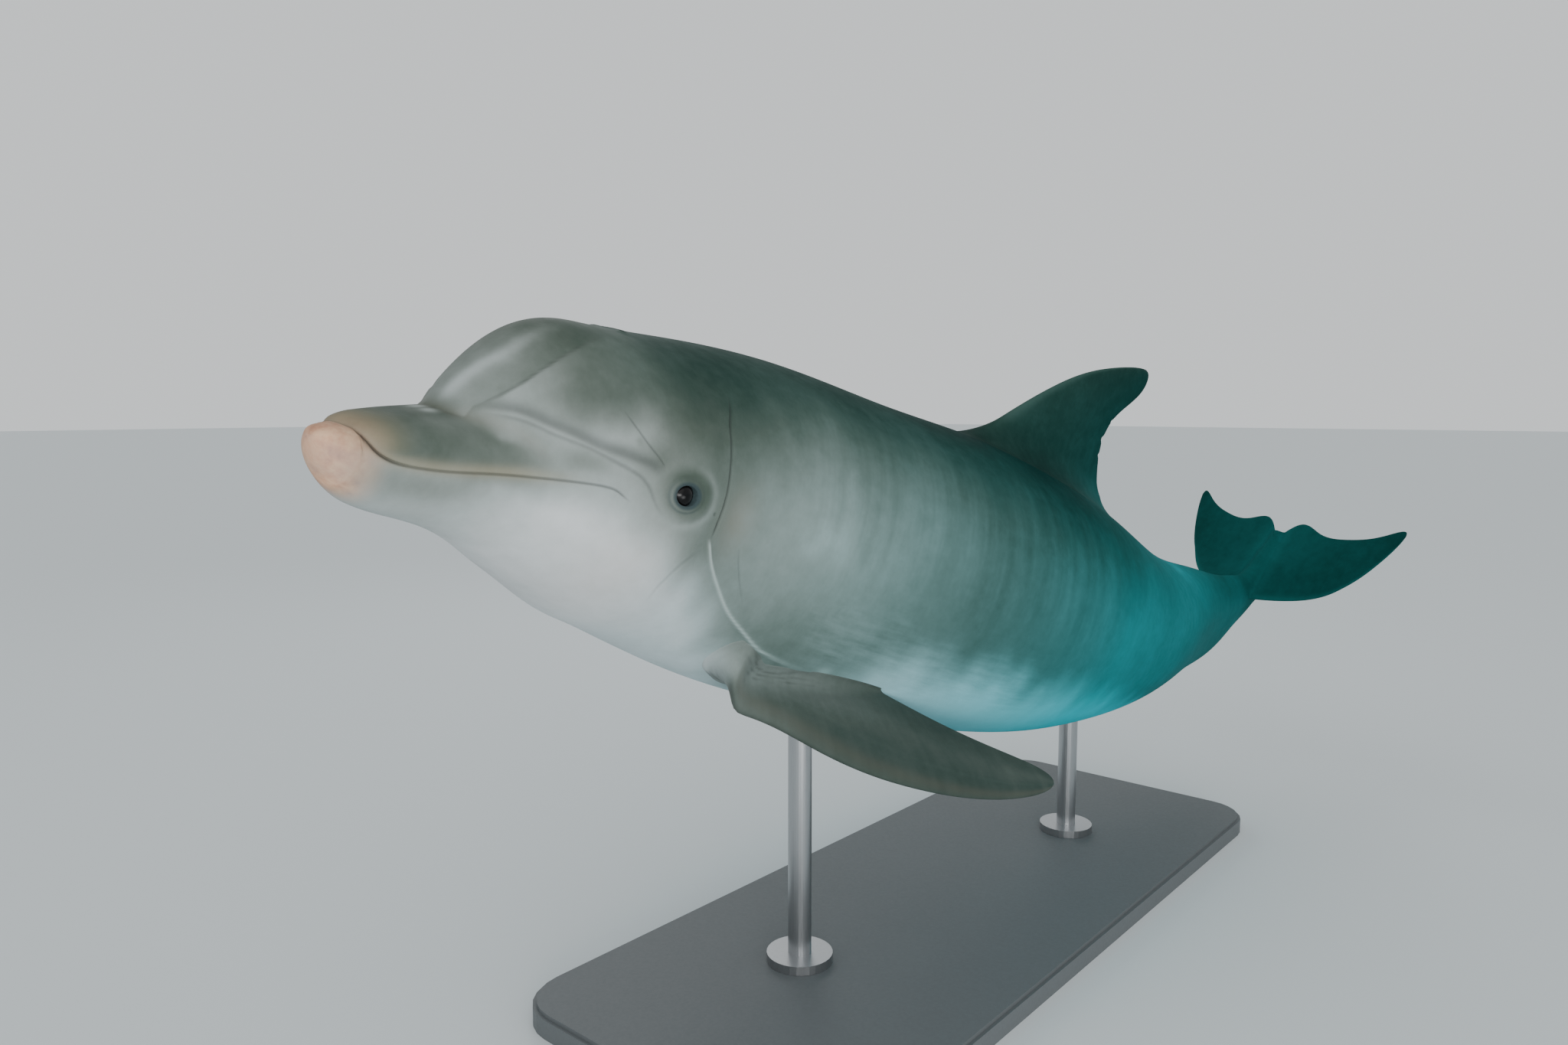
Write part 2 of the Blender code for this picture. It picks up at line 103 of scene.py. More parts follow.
# --- fins: (share of the span, middle of the blade, chord) ---
DORSAL = [
    (0.00, 1.208, 0.404), (0.30, 1.228, 0.286), (0.60, 1.281, 0.208),
    (0.85, 1.366, 0.172), (1.00, 1.424, 0.116),
]  # fmt: skip
DORSAL_FOOT, DORSAL_ROOT, DORSAL_HEIGHT, DORSAL_THICK = 0.170, 0.200, 0.227, 0.036
# (share of the span, depth, reach) of the nicks in the dorsal fin's trailing edge
NICKS = [(0.40, 0.006, 0.022), (0.28, 0.004, 0.016), (0.55, 0.003, 0.014)]
FLUKE = [
    (0.00, 2.322, 0.184), (0.14, 2.351, 0.214), (0.35, 2.359, 0.180),
    (0.60, 2.379, 0.145), (0.85, 2.430, 0.114), (1.00, 2.489, 0.090),
]  # fmt: skip
FLUKE_SPAN, FLUKE_DROOP, FLUKE_THICK, FLUKE_BLEND = 0.279, 0.014, 0.026, 0.012
FLIPPER = [
    (-0.12, -0.030, 0.165), (0.00, -0.010, 0.142), (0.30, 0.014, 0.147),
    (0.60, 0.034, 0.126), (0.85, 0.071, 0.095), (1.00, 0.104, 0.077),
]  # fmt: skip
FLIPPER_ROOT = (0.650, 0.091, -0.176)
FLIPPER_SPAN, FLIPPER_THICK, FLIPPER_BOW = 0.432, 0.034, -0.010
FLIPPER_SWEEP, FLIPPER_DROOP, FLIPPER_TWIST = 47.4, 11.2, 24.0  # degrees
FLIPPER_EASE = 0.03  # share of the span over which the blade turns outward
DORSAL_FILLET, FLIPPER_FILLET = 0.045, 0.022
FLIPPER_FLARE = (1.6, 0.3)  # times the fillet, at the leading and trailing edges
TIP_ROUND = 8
TIP_SHARE = 0.9995  # where the last row of a fin is
SECTION = 1.299  # makes the section's greatest thickness the one that is asked for
EDGE = 0.0006  # half the thickness of a trailing edge

# --- pose ---
# (start, end, degrees up, degrees to the left, degrees of roll) of each bend along the spine
BENDS = [
    (0.30, 0.80, -6.5, -25.5, 2.0),
    (0.80, 1.40, 4.5, 4.0, 0.0),
    (1.40, 1.90, 8.0, 5.5, -4.5),
    (1.90, 2.25, 8.3, -5.0, 0.5),
    (2.20, 2.35, 59.5, -17.5, 0.0),
]
HEADING, NOSE_UP, LEFT_DOWN = 17.3, 7.2, 13.8
HEAD_AT = (-1.060, -0.108, 0.760)


# --- curves ---
def smooth(t):
    """0 up to t = 0, 1 from t = 1."""
    t = np.clip(t, 0.0, 1.0)
    return t * t * (3.0 - 2.0 * t)


def fall(t):
    return 1.0 - smooth(t)


def bump(t):
    """1 at t = 0, falling to 0 by about t = 2."""
    return np.exp(-np.square(t))


def curve(places, values):
    """A natural cubic spline through the given stations, as a function."""
    x, y = np.array(places, float), np.array(values, float)
    count, step = len(x), np.diff(x)
    system, right = np.eye(count), np.zeros(count)
    for i in range(1, count - 1):
        system[i, i - 1 : i + 2] = step[i - 1], 2 * (step[i - 1] + step[i]), step[i]
        right[i] = 6 * ((y[i + 1] - y[i]) / step[i] - (y[i] - y[i - 1]) / step[i - 1])
    bend = np.linalg.solve(system, right)

    def at(t):
        t = np.clip(t, x[0], x[-1])
        i = np.clip(np.searchsorted(x, t) - 1, 0, count - 2)
        after, before, h = t - x[i], x[i + 1] - t, step[i]
        cubic = (bend[i] * before**3 + bend[i + 1] * after**3) / (6 * h)
        low, high = y[i] / h - bend[i] * h / 6, y[i + 1] / h - bend[i + 1] * h / 6
        return cubic + low * before + high * after

    return at


def columns(rows):
    places, *values = zip(*rows)
    return [curve(places, v) for v in values]


def cap(u, power):
    return (1.0 - (1.0 - np.clip(u, 0.0, 1.0)) ** power) ** (1.0 / power)


# --- straight body ---
TRUNK_AT, BEAK_AT, LIP_AT = columns(TRUNK), columns(BEAK), columns(LIP)[0]


def slice_radius(angle, width, top, bottom, above, below):
    up = np.sin(angle) >= 0
    height = np.maximum(np.where(up, top, bottom), 1e-6)
    power = np.where(up, above, below)
    across = (np.abs(np.cos(angle)) / np.maximum(width, 1e-6)) ** power
    return (across + (np.abs(np.sin(angle)) / height) ** power) ** (-1.0 / power)


def both_radii(s, angle):
    """Distances from the spine to the melon and trunk, and to the beak, and how softly they join."""
    width, top, bottom, above, below = (f(s) for f in TRUNK_AT)
    length, steep = MELON_RISE
    rise = 1.0 - (1.0 - np.clip((s - MELON_START) / length, 0.0, 1.0)) ** steep
    spread = cap((s - MELON_START) / MELON_SPREAD[0], MELON_SPREAD[1])
    chin = smooth((s - 0.16) / 0.20)  # the trunk's underside takes over from the jaw's without a dent
    bottom = bottom * (spread + (1 - spread) * chin)
    trunk = slice_radius(angle, width * spread, top * rise, bottom, above, below)
    trunk = np.where(s > MELON_START, trunk, 0.0)
    width, top, bottom, above, below = (f(s) for f in BEAK_AT)
    upper = smooth(0.5 + 0.9 * np.sin(angle))
    jaw_tip = cap((s - LOWER_TIP[0]) / LOWER_TIP[1], 2.0)
    bulb = BULB[0] * cap((s - LOWER_TIP[0]) / BULB[1], 2.0)
    tip = jaw_tip * (1 - upper) + np.maximum(bulb, cap((s - UPPER_TIP[0]) / UPPER_TIP[1], 2.0)) * upper
    beak = slice_radius(angle, width * tip, top * tip, bottom * tip, above, below)
    beak = np.where(s > BEAK_END, 0.0, beak)
    # soft below the mouth, sharp in the crease under the melon
    under = smooth(0.15 - 1.6 * np.sin(angle)) * smooth((s - 0.14) / 0.12)
    soft = (CREASE_BLEND + 0.020 * under) * smooth((s - MELON_START + 0.008) / 0.02)
    return trunk, beak, soft * fall((s - 0.36) / 0.10)


def body_radius(s, angle):
    """Distance from the spine to the skin."""
    trunk, beak, soft = both_radii(s, angle)
    return 0.5 * (trunk + beak + np.sqrt((trunk - beak) ** 2 + soft**2))


def skin_gap(points):
    """Distance of points outside the straight body, along the radius."""
    y, z = points[..., 1], points[..., 2]
    return np.hypot(y, z) - body_radius(points[..., 0], np.arctan2(z, y))


# --- spine ---
def make_spine():
    s = np.linspace(-0.05, 2.60, 900)
    pitch, yaw, roll = (np.zeros(len(s)) for _ in range(3))
    for start, end, up, left, turn in BENDS:
        share = smooth((s - start) / (end - start))
        pitch += math.radians(up) * share
        yaw += math.radians(left) * share
        roll += math.radians(turn) * share
    along = np.stack([np.cos(pitch) * np.cos(yaw), np.cos(pitch) * np.sin(yaw), np.sin(pitch)], -1)
    level = np.stack([-np.sin(yaw), np.cos(yaw), 0 * yaw], -1)
    upright = np.cross(along, level)
    across = level * np.cos(roll)[:, None] + upright * np.sin(roll)[:, None]
    above = upright * np.cos(roll)[:, None] - level * np.sin(roll)[:, None]
    centre = np.cumsum((along[1:] + along[:-1]) / 2 * (s[1] - s[0]), 0)
    centre = np.vstack([np.zeros(3), centre])
    centre -= [np.interp(0.0, s, centre[:, k]) for k in range(3)]
    turn = Matrix.Rotation(math.radians(HEADING), 3, "Z") @ Matrix.Rotation(math.radians(NOSE_UP), 3, "Y")
    turn = np.array(turn @ Matrix.Rotation(math.radians(LEFT_DOWN), 3, "X"))
    return s, centre @ turn.T + HEAD_AT, across @ turn.T, above @ turn.T


SPINE = make_spine()


def pose(points):
    places, centre, across, above = SPINE
    flat = np.asarray(points, float).reshape(-1, 3)

    def at(table):
        return np.stack([np.interp(flat[:, 0], places, table[:, k]) for k in range(3)], -1)

    posed = at(centre) + at(across) * flat[:, 1:2] + at(above) * flat[:, 2:3]
    return posed.reshape(np.shape(points))


# --- body grid ---
FINE = 1.0
SIDE_STEPS = int(118 * FINE)  # points from the mouth line to the back, and from it to the belly
SPACING = [
    (0.0545, 0.0013), (0.42, 0.0014), (0.50, 0.0020), (0.78, 0.0026), (0.95, 0.005),
    (2.10, 0.006), (2.20, 0.003), (2.43, 0.003),
]  # fmt: skip


def graded(steps):
    """Places from the first to the last (place, spacing), spaced as the pairs say."""
    places, spacing = zip(*steps)
    fine = np.linspace(places[0], places[-1], 4000)
    count = np.concatenate([[0], np.cumsum(np.diff(fine) / np.interp(fine[1:], places, spacing))]) * FINE
    return np.interp(np.linspace(0, count[-1], int(count[-1]) + 1), count, fine)


def body_places():
    turn = np.linspace(0.004, math.pi / 2, int(44 * FINE))
    return np.concatenate([LOWER_TIP[0] + LOWER_TIP[1] * (1 - np.cos(turn))[:-1], graded(SPACING)])


def lip_angle(s):
    """Angle above the level at which the mouth line crosses each slice; the columns follow it."""
    z = LIP_AT(np.maximum(s, LIP[0][0])) * fall((s - 0.30) / 0.12)
    angle = np.zeros(len(s))
    for _ in range(12):
        radius = body_radius(s, math.pi - angle)
        angle = 0.5 * angle + 0.5 * np.arcsin(np.clip(z / radius, -0.9, 0.9))
    return angle


def body_grid():
    s = body_places()
    lip = lip_angle(s)[:, None]
    j = np.arange(SIDE_STEPS) / SIDE_STEPS
    below = -math.pi / 2 + (lip + math.pi / 2) * (0.62 * np.sin(j * math.pi / 2) + 0.38 * j)
    above = lip + (math.pi / 2 - lip) * (1 - 0.62 * np.sin((1 - j) * math.pi / 2) - 0.38 * (1 - j))
    left = math.pi - np.concatenate([below, above], 1)
    top = np.full((len(s), 1), math.pi / 2)
    right = math.pi - left[:, 1:][:, ::-1]
    angle = np.concatenate([left, top, right], 1)
    place = np.repeat(s[:, None], angle.shape[1], 1)
    radius = body_radius(place, angle)
    return np.stack([place, radius * np.cos(angle), radius * np.sin(angle)], -1)


def grid_normals(grid):
    along = np.gradient(grid, axis=0)
    normal = np.cross(np.roll(grid, -1, 1) - np.roll(grid, 1, 1), along)
    normal /= np.maximum(np.linalg.norm(normal, axis=-1, keepdims=True), 1e-12)
    outside = np.sum(normal * (grid - grid.mean(1, keepdims=True)))
    return normal if outside > 0 else -normal


# --- lines on the skin ---
# (s, y, z) along folds and marks of one side; the other side has the same
MELON_LINE = [
    (0.140, 0.024, 0.043), (0.158, 0.034, 0.061), (0.179, 0.040, 0.078), (0.205, 0.043, 0.098),
    (0.235, 0.043, 0.116), (0.270, 0.038, 0.131), (0.300, 0.030, 0.138),
]  # fmt: skip
CREASE = [
    (0.122, 0.000, 0.035), (0.124, 0.010, 0.036), (0.130, 0.021, 0.038), (0.155, 0.045, 0.038),
    (0.177, 0.061, 0.032), (0.193, 0.072, 0.022), (0.204, 0.078, 0.012),
]  # fmt: skip
BRIDLE_TOP = [
    (0.134, 0.022, 0.042), (0.145, 0.030, 0.049), (0.157, 0.039, 0.052), (0.173, 0.051, 0.054),
    (0.194, 0.066, 0.050), (0.215, 0.078, 0.046), (0.243, 0.093, 0.040), (0.275, 0.107, 0.036),
    (0.314, 0.122, 0.028),
]  # fmt: skip
BRIDLE_LOW = [
    (0.131, 0.020, 0.040), (0.156, 0.042, 0.045), (0.177, 0.057, 0.045), (0.201, 0.073, 0.040),
    (0.230, 0.088, 0.035), (0.260, 0.103, 0.027), (0.287, 0.114, 0.018), (0.302, 0.121, 0.004),
    (0.314, 0.125, -0.010), (0.332, 0.128, -0.018),
]  # fmt: skip
NECK_CREASE = [
    (0.424, 0.098, 0.116), (0.422, 0.108, 0.106), (0.412, 0.120, 0.088), (0.409, 0.127, 0.075),
    (0.406, 0.140, 0.040), (0.405, 0.144, 0.010), (0.399, 0.141, -0.032),
]  # fmt: skip
PALE_FOLD = [
    (0.395, 0.140, -0.028), (0.419, 0.140, -0.055), (0.459, 0.139, -0.083), (0.505, 0.137, -0.107),
    (0.560, 0.137, -0.126), (0.604, 0.136, -0.138), (0.672, 0.141, -0.146), (0.740, 0.147, -0.149),
]  # fmt: skip
BRIDLE_RIDGE = [(s, y, z - 0.006) for s, y, z in BRIDLE_TOP]
BRIDLE_LIGHT = [(s, y, z - 0.007) for s, y, z in BRIDLE_TOP]
CHEEK_FOLD = [
    (0.396, 0.139, -0.040), (0.371, 0.130, -0.059), (0.363, 0.116, -0.087), (0.372, 0.100, -0.112),
]  # fmt: skip
BROW_CREASE = [(0.262, 0.090, 0.078), (0.287, 0.108, 0.053), (0.303, 0.117, 0.040), (0.312, 0.121, 0.031)]
SHOULDER_CREASE = [(0.452, 0.150, -0.030), (0.476, 0.150, -0.062), (0.520, 0.142, -0.096)]
BLOWHOLE = [(0.337, 0.0165, 0.14), (0.344, 0.0130, 0.14), (0.350, 0.0070, 0.14), (0.352, 0.0, 0.14)]
BELLY_SLIT = [(1.500, 0.0, -0.19), (1.620, 0.0, -0.18)]
SNOUT_SPOT = (0.110, 0.006, 0.030)
EAR_AT = (0.392, 0.140, -0.004)
WRINKLES = (0.002, 0.006, 0.011)  # heights above the body of the wrinkles on the flippers' roots
# (line, height, half width, fades at its first and last end); negative heights go inward
FOLDS = [
    (CREASE, -0.0006, 0.0030, 0, 0.30), (BRIDLE_TOP, -0.0010, 0.0034, 0.4, 0.15),
    (BRIDLE_LOW, -0.0007, 0.0022, 0.3, 0.2), (BRIDLE_RIDGE, 0.0006, 0.0030, 0.35, 0.2),
    (MELON_LINE, -0.0012, 0.0016, 0.3, 0.35), (NECK_CREASE, -0.0024, 0.0017, 0.3, 0.10),
    (PALE_FOLD, 0.0017, 0.0028, 0.05, 0.30), (CHEEK_FOLD, -0.0007, 0.0022, 0.3, 0.4),
    (BROW_CREASE, -0.0008, 0.0010, 0.15, 0.15), (SHOULDER_CREASE, -0.0008, 0.0013, 0.15, 0.15),
    (BLOWHOLE, -0.0050, 0.0013, 0.15, 0), (BLOWHOLE, 0.0016, 0.0060, 0, 0),
    (BELLY_SLIT, -0.0025, 0.0016, 0.1, 0.1),
]  # fmt: skip
# (line, how strong, half width, fades at its first and last end) of dark lines, then of pale ones
INKED = [
    (NECK_CREASE, 0.85, 0.0013, 0.35, 0.06), (BRIDLE_TOP, 0.44, 0.0058, 0.35, 0.05),
    (BRIDLE_LOW, 0.34, 0.0020, 0.2, 0.3), (MELON_LINE, 0.30, 0.0013, 0.1, 0.5),
    (CHEEK_FOLD, 0.14, 0.0024, 0.3, 0.4), (BROW_CREASE, 0.45, 0.0010, 0.15, 0.15),
    (SHOULDER_CREASE, 0.22, 0.0013, 0.3, 0.4), (BLOWHOLE, 0.9, 0.0020, 0.15, 0),
    (BELLY_SLIT, 0.5, 0.0022, 0.1, 0.1),
]  # fmt: skip
CHALKED = [(PALE_FOLD, 0.56, 0.0019, 0.05, 0.34), (BRIDLE_LIGHT, 0.16, 0.004, 0.2, 0.4)]


def on_skin(points):
    angle = np.arctan2(points[:, 2], points[:, 1])
    radius = body_radius(points[:, 0], angle)
    return np.stack([points[:, 0], radius * np.cos(angle), radius * np.sin(angle)], -1)


def along_line(p, line):
    """Distance of points from a line on the skin, and the share of its length that they are along."""
    stations = np.linspace(0, 1, len(line))
    steps = np.linspace(0, 1, 1 + 5 * (len(line) - 1))
    path = on_skin(np.stack([f(steps) for f in (curve(stations, v) for v in zip(*line))], -1))
    q = np.stack([p[..., 0], np.abs(p[..., 1]), p[..., 2]], -1).reshape(-1, 3)
    close = (q[:, 0] > path[:, 0].min() - 0.03) & (q[:, 0] < path[:, 0].max() + 0.03)
    near = q[close]
    best, where = np.full(len(near), 1.0), np.zeros(len(near))
    for k in range(len(path) - 1):
        step = path[k + 1] - path[k]
        t = np.clip((near - path[k]) @ step / max(step @ step, 1e-12), 0, 1)
        gap = np.linalg.norm(near - path[k] - t[:, None] * step, axis=1)
        where = np.where(gap < best, (k + t) / (len(path) - 1), where)
        best = np.minimum(gap, best)
    distance, share = np.full(len(q), 1.0), np.zeros(len(q))
    distance[close], share[close] = best, where
    return distance.reshape(p.shape[:-1]), share.reshape(p.shape[:-1])


def stroke(p, line, width, first, last):
    """1 on the line, fading over its width and over the given shares at its ends."""
    distance, share = along_line(p, line)
    ends = smooth(share / first) if first else 1.0
    return bump(distance / width) * ends * (smooth((1 - share) / last) if last else 1.0)


def strongest(p, rows):
    return np.maximum.reduce([strength * stroke(p, line, *rest) for line, strength, *rest in rows])


def spot(p, place, size):
    """1 at a place on the skin, falling off over the given sizes."""
    near = on_skin(np.array([place]))[0]
    gap = np.stack([p[..., 0] - near[0], np.abs(p[..., 1]) - near[1], p[..., 2] - near[2]], -1)
    return bump(np.linalg.norm(gap / np.array(size), axis=-1))


# --- folds and openings of the skin ---
def lip_distance(p):
    """Distance above the mouth line, negative on the lower jaw."""
    s = np.maximum(p[..., 0], LIP[0][0])
    slope = (LIP_AT(s + 5e-4) - LIP_AT(s - 5e-4)) / 1e-3
    height = (p[..., 2] - LIP_AT(s)) / np.sqrt(1 + slope**2)
    ahead = LIP[0][0] - p[..., 0]
    return np.where(ahead > 0, np.minimum(height, 0) - ahead, height)


def eye_share(p):
    """Distance from an eye's middle as a share of the opening between the lids."""
    along, up = p[..., 0] - EYE_AT[0], p[..., 2] - EYE_AT[1]
    beside = np.where(np.abs(p[..., 1]) > 0.06, 1.0, 50.0)
    return np.hypot(along / EYE_OPENING[0], up / EYE_OPENING[1]) * beside


def behind_eye(s, z):
    """0 in front of the eyes, 1 behind and below them."""
    return smooth(0.3 + (s - EYE_AT[0] - 0.4 * (z - EYE_AT[1])) / 0.03)


def gather_round_eye(grid):
    """Moves the points beside the lids' edge onto it."""
    share = eye_share(grid)
    near = np.abs(share - 1) < 0.30
    kept = 0.10 + 0.90 * smooth(np.abs(share - 1) / 0.30)
    scale = np.where(near, (1 + (share - 1) * kept) / np.maximum(share, 1e-6), 1.0)
    s = EYE_AT[0] + (grid[..., 0] - EYE_AT[0]) * scale
    z = EYE_AT[1] + (grid[..., 2] - EYE_AT[1]) * scale
    left = grid[..., 1] < 0
    angle = np.arctan2(grid[..., 2], grid[..., 1])
    for _ in range(4):
        up = np.arcsin(np.clip(z / body_radius(s, angle), -1, 1))
        angle = np.where(left, math.pi - up, up)
    radius = body_radius(s, angle)
    moved = np.stack([s, radius * np.cos(angle), radius * np.sin(angle)], -1)
    return np.where(near[..., None], moved, grid)


def fold_depth(p):
    """How far each point of the body's skin stands out, negative inward, in metres."""
    s, z = p[..., 0], p[..., 2]
    lip = lip_distance(p)
    mouth = fall((s - GAPE + 0.014) / 0.014)
    front = fall((s - 0.035) / 0.045)
    out = -(0.0014 + 0.0012 * front) * bump(lip / 0.0009) * mouth
    edge = 0.3 + 0.7 * front
    over = smooth((lip + 0.0002) / 0.0012) * fall((lip - 0.002) / 0.014)
    below = smooth((-lip + 0.0002) / 0.0015) * fall((-lip - 0.002) / 0.012)
    out += (0.0010 * below - 0.0022 * over) * edge * mouth
    out += sum(height * stroke(p, line, *rest) for line, height, *rest in FOLDS)
    out -= 0.0016 * spot(p, EAR_AT, (0.0014, 0.0014, 0.0014))
    share = eye_share(p)
    out += 0.0010 * bump((share - 1.9) / 0.9) - 0.0009 * bump((share - 1.75) / 0.16)
    out += 0.0011 * bump((share - 1.18) / 0.26) - 0.0006 * behind_eye(s, z) * bump((share - 2.75) / 0.30)
    return np.where(share < 1.0, 0.0010 - 0.0100 * smooth((1.0 - share) / 0.16), out)


# --- marks ---
# (s, how far up the side the white ends); 0 is the belly's middle and 1 the back's
WHITE_EDGE = columns([
    (0.05, 0.50), (0.22, 0.45), (0.27, 0.44), (0.31, 0.41), (0.36, 0.35), (0.44, 0.30), (0.50, 0.24),
    (0.58, 0.16), (0.66, 0.13), (0.74, 0.18), (0.82, 0.31), (0.90, 0.35), (1.20, 0.33), (1.40, 0.29),
    (1.60, 0.18), (1.80, 0.00),
])[0]  # fmt: skip
# (s, how dark the side is)
FLANK_TONE = columns([
    (0.20, 0.30), (0.28, 0.32), (0.36, 0.48), (0.40, 0.56), (0.44, 0.51), (0.50, 0.46), (0.58, 0.42),
    (0.66, 0.46), (0.74, 0.49), (0.82, 0.56), (0.90, 0.62), (1.10, 0.61), (1.20, 0.54), (1.40, 0.48),
    (1.60, 0.52), (2.00, 0.62), (2.20, 0.61),
])[0]  # fmt: skip
# (s, how far up the side the back's shade starts)
BACK_EDGE = columns([
    (0.20, 0.770), (0.25, 0.710), (0.29, 0.660), (0.40, 0.650), (0.50, 0.685), (0.66, 0.710), (0.82, 0.740),
    (0.90, 0.755), (1.00, 0.740), (1.20, 0.690), (1.40, 0.660), (2.20, 0.660),
])[0]  # fmt: skip
# (s, how dark the back is); toward the tail, near s 1.75, the back is kept lighter than the side as painted
# light from above
BACK_TONE = columns([
    (0.20, 0.62), (0.25, 0.71), (0.29, 0.71), (0.36, 0.84), (0.44, 0.87), (0.80, 0.92), (1.30, 0.82),
    (1.40, 0.72), (1.60, 0.58), (1.75, 0.50), (1.90, 0.55), (2.00, 0.65), (2.20, 0.67),
])[0]  # fmt: skip


def side_share(p):
    """0 at the belly's middle, 1 at the back's, waved a little so that no edge is ruled."""
    s, y, z = p[..., 0], p[..., 1], p[..., 2]
    wave = 0.010 * np.sin(31 * s + 9 * y) + 0.007 * np.sin(67 * s - 30 * z)
    wave += 0.005 * np.sin(113 * s + 41 * z)
    return (np.arctan2(z, np.abs(y)) + math.pi / 2) / math.pi + wave


def body_marks(p):
    """How dark, inked, chalky, blushed, lid-coloured, banded and cool each point of the body is."""
    s, y, z = p[..., 0], np.abs(p[..., 1]), p[..., 2]
    a = side_share(p)
    tone = 0.02 + (FLANK_TONE(s) - 0.02) * smooth((a - WHITE_EDGE(s)) / 0.17 + 0.5)
    tone += (BACK_TONE(s) - tone) * smooth((a - BACK_EDGE(s)) / 0.36 + 0.5)
    # painted shade: a darker patch on the low flank above the flipper's root
    tone += 0.14 * bump((s - 0.60) / 0.09) * bump((a - 0.26) / 0.09)
    tone -= 0.07 * bump((s - 0.62) / 0.08) * bump((a - 0.49) / 0.04)
    tone += 0.10 * smooth((s - 2.18) / 0.08) - 0.10 * bump((s - 1.77) / 0.035) * bump((a - 0.88) / 0.06)
    # painted shade in the hollow between the pale fold and the flipper
    levels = [math.atan2(row[2], row[1]) / math.pi + 0.5 for row in PALE_FOLD]
    fold = np.interp(s, [row[0] for row in PALE_FOLD], levels)
    hollow_shade = smooth((fold - 0.008 - a) / 0.012) * fall((fold - 0.085 - a) / 0.03)
    hollow_shade *= smooth((s - 0.620) / 0.03) * fall((s - 0.74) / 0.05)
    tone += hollow_shade * (0.58 - tone)
    # the jaws
    lip = lip_distance(p)
    trunk, beak = both_radii(s, np.arctan2(z, p[..., 1]))[:2]
    jaw = smooth((beak - trunk) / 0.006 + 0.5)
    upper = smooth(lip / 0.002 + 0.5) * smooth((beak - trunk) / 0.016 + 0.85)
    upper *= fall((s - 0.125) / 0.12)
    shade = 0.67 + 0.08 * smooth((a - 0.58 - 1.6 * s) / 0.20) - 0.04 * smooth((s - 0.09) / 0.04)
    shade -= 0.07 * smooth((s - 0.07) / 0.03) * bump((a - 0.76) / 0.07)
    shade -= 0.24 * bump(lip / 0.0065) - 0.06 * fall((s - 0.026) / 0.045)
    tone = tone * (1 - upper) + upper * shade
    lower = fall(lip / 0.002 + 0.5) * fall((s - 0.10) / 0.13)
    tone += lower * (0.19 + 0.21 * bump((lip + 0.012) / 0.018))
    tone += 0.13 * bump((s - 0.158) / 0.032) * bump((a - 0.45) / 0.05)
    # the melon
    top = smooth((s - 0.120) / 0.02) * (1 - jaw) * fall((s - 0.300) / 0.06) * (z > 0)
    line_y = np.interp(s, [row[0] for row in MELON_LINE], [row[1] for row in MELON_LINE])
    inside = fall((y / line_y - 1) / (0.06 + 1.2 * smooth((s - 0.24) / 0.07)) + 0.5)
    climb = smooth((s - 0.135) / 0.11)
    # a painted sheen: a pale streak along the melon, a little to the left of the middle
    melon_sheen = bump((p[..., 1] + 0.014 * smooth((s - 0.135) / 0.05)) / 0.008)
    crown = 0.45 + 0.29 * climb - (0.25 - 0.15 * climb) * melon_sheen * fall((s - 0.21) / 0.05)
    tone += top * inside * (crown - tone)
    temple = 0.31 + 0.36 * smooth((s - 0.155) / 0.09) * smooth((a - 0.64) / 0.14)
    beside = smooth((s - 0.14) / 0.03) * (1 - inside) * smooth((a - 0.60) / 0.06) * top
    tone += beside * fall((s - 0.27) / 0.08) * (temple - tone)
    tone += 0.09 * bump((s - 0.170) / 0.030) * bump((a - 1.11 + 2.9 * s) / 0.09)
    tone += 0.09 * bump((s - 0.305) / 0.018) * bump((a - 0.62) / 0.09)
    # the eye
    share = eye_share(p)
    high = smooth(0.5 + (z - EYE_AT[1] + 0.6 * (s - EYE_AT[0])) / 0.03)
    tone += (0.12 + 0.09 * high) * fall((share - 1.7) / 1.4)
    tone -= 0.07 * bump((share - 2.9) / 0.45) * behind_eye(s, z)
    tone += 0.15 * spot(p, (0.228, 0.088, 0.021), (0.034, 0.02, 0.009))
    tone += 0.10 * spot(p, (0.280, 0.112, 0.054), (0.005, 0.005, 0.004))
    # dark lines; toward the tip the mouth line widens and darkens as painted shadow in the step between the
    # jaws
    tip_shadow = fall((s - 0.030) / 0.04)
    ink = (0.46 + 0.34 * tip_shadow) * bump(lip / (0.0011 + 0.0010 * tip_shadow))
    ink *= fall((s - GAPE + 0.010) / 0.014)
    ink = np.maximum(ink, strongest(p, INKED))
    ink = np.maximum(ink, 0.5 * spot(p, EAR_AT, (0.0018, 0.0018, 0.0018)))
    chalk = np.maximum(strongest(p, CHALKED), 0.42 * spot(p, SNOUT_SPOT, (0.0085, 0.006, 0.01)))
    chalk = np.maximum(chalk, 0.32 * spot(p, (0.735, 0.15, -0.143), (0.012, 0.02, 0.008)))
    # warm colours: the worn tip of the lower jaw, the lip, and faint flushes
    blush = fall((s - 0.004) / 0.055) * (0.85 - 0.45 * smooth(lip / 0.004))
    blush += 0.45 * bump((z + 0.036) / 0.008) * bump((s - 0.022) / 0.016)
    blush = np.maximum(blush, 0.03 * stroke(p, CREASE, 0.007, 0, 0.4))
    blush = np.maximum(blush, 0.07 * spot(p, (0.435, 0.14, -0.005), (0.03, 0.03, 0.035)))
    blush = np.maximum(blush, 0.06 * spot(p, (0.30, 0.09, -0.07), (0.05, 0.08, 0.04)))
    ochre = 0.55 * fall((s - 0.030) / 0.05) * (lip > 0)
    ochre = np.maximum(ochre, 0.55 * bump((lip - 0.002) / 0.006) * fall((s - 0.16) / 0.09))
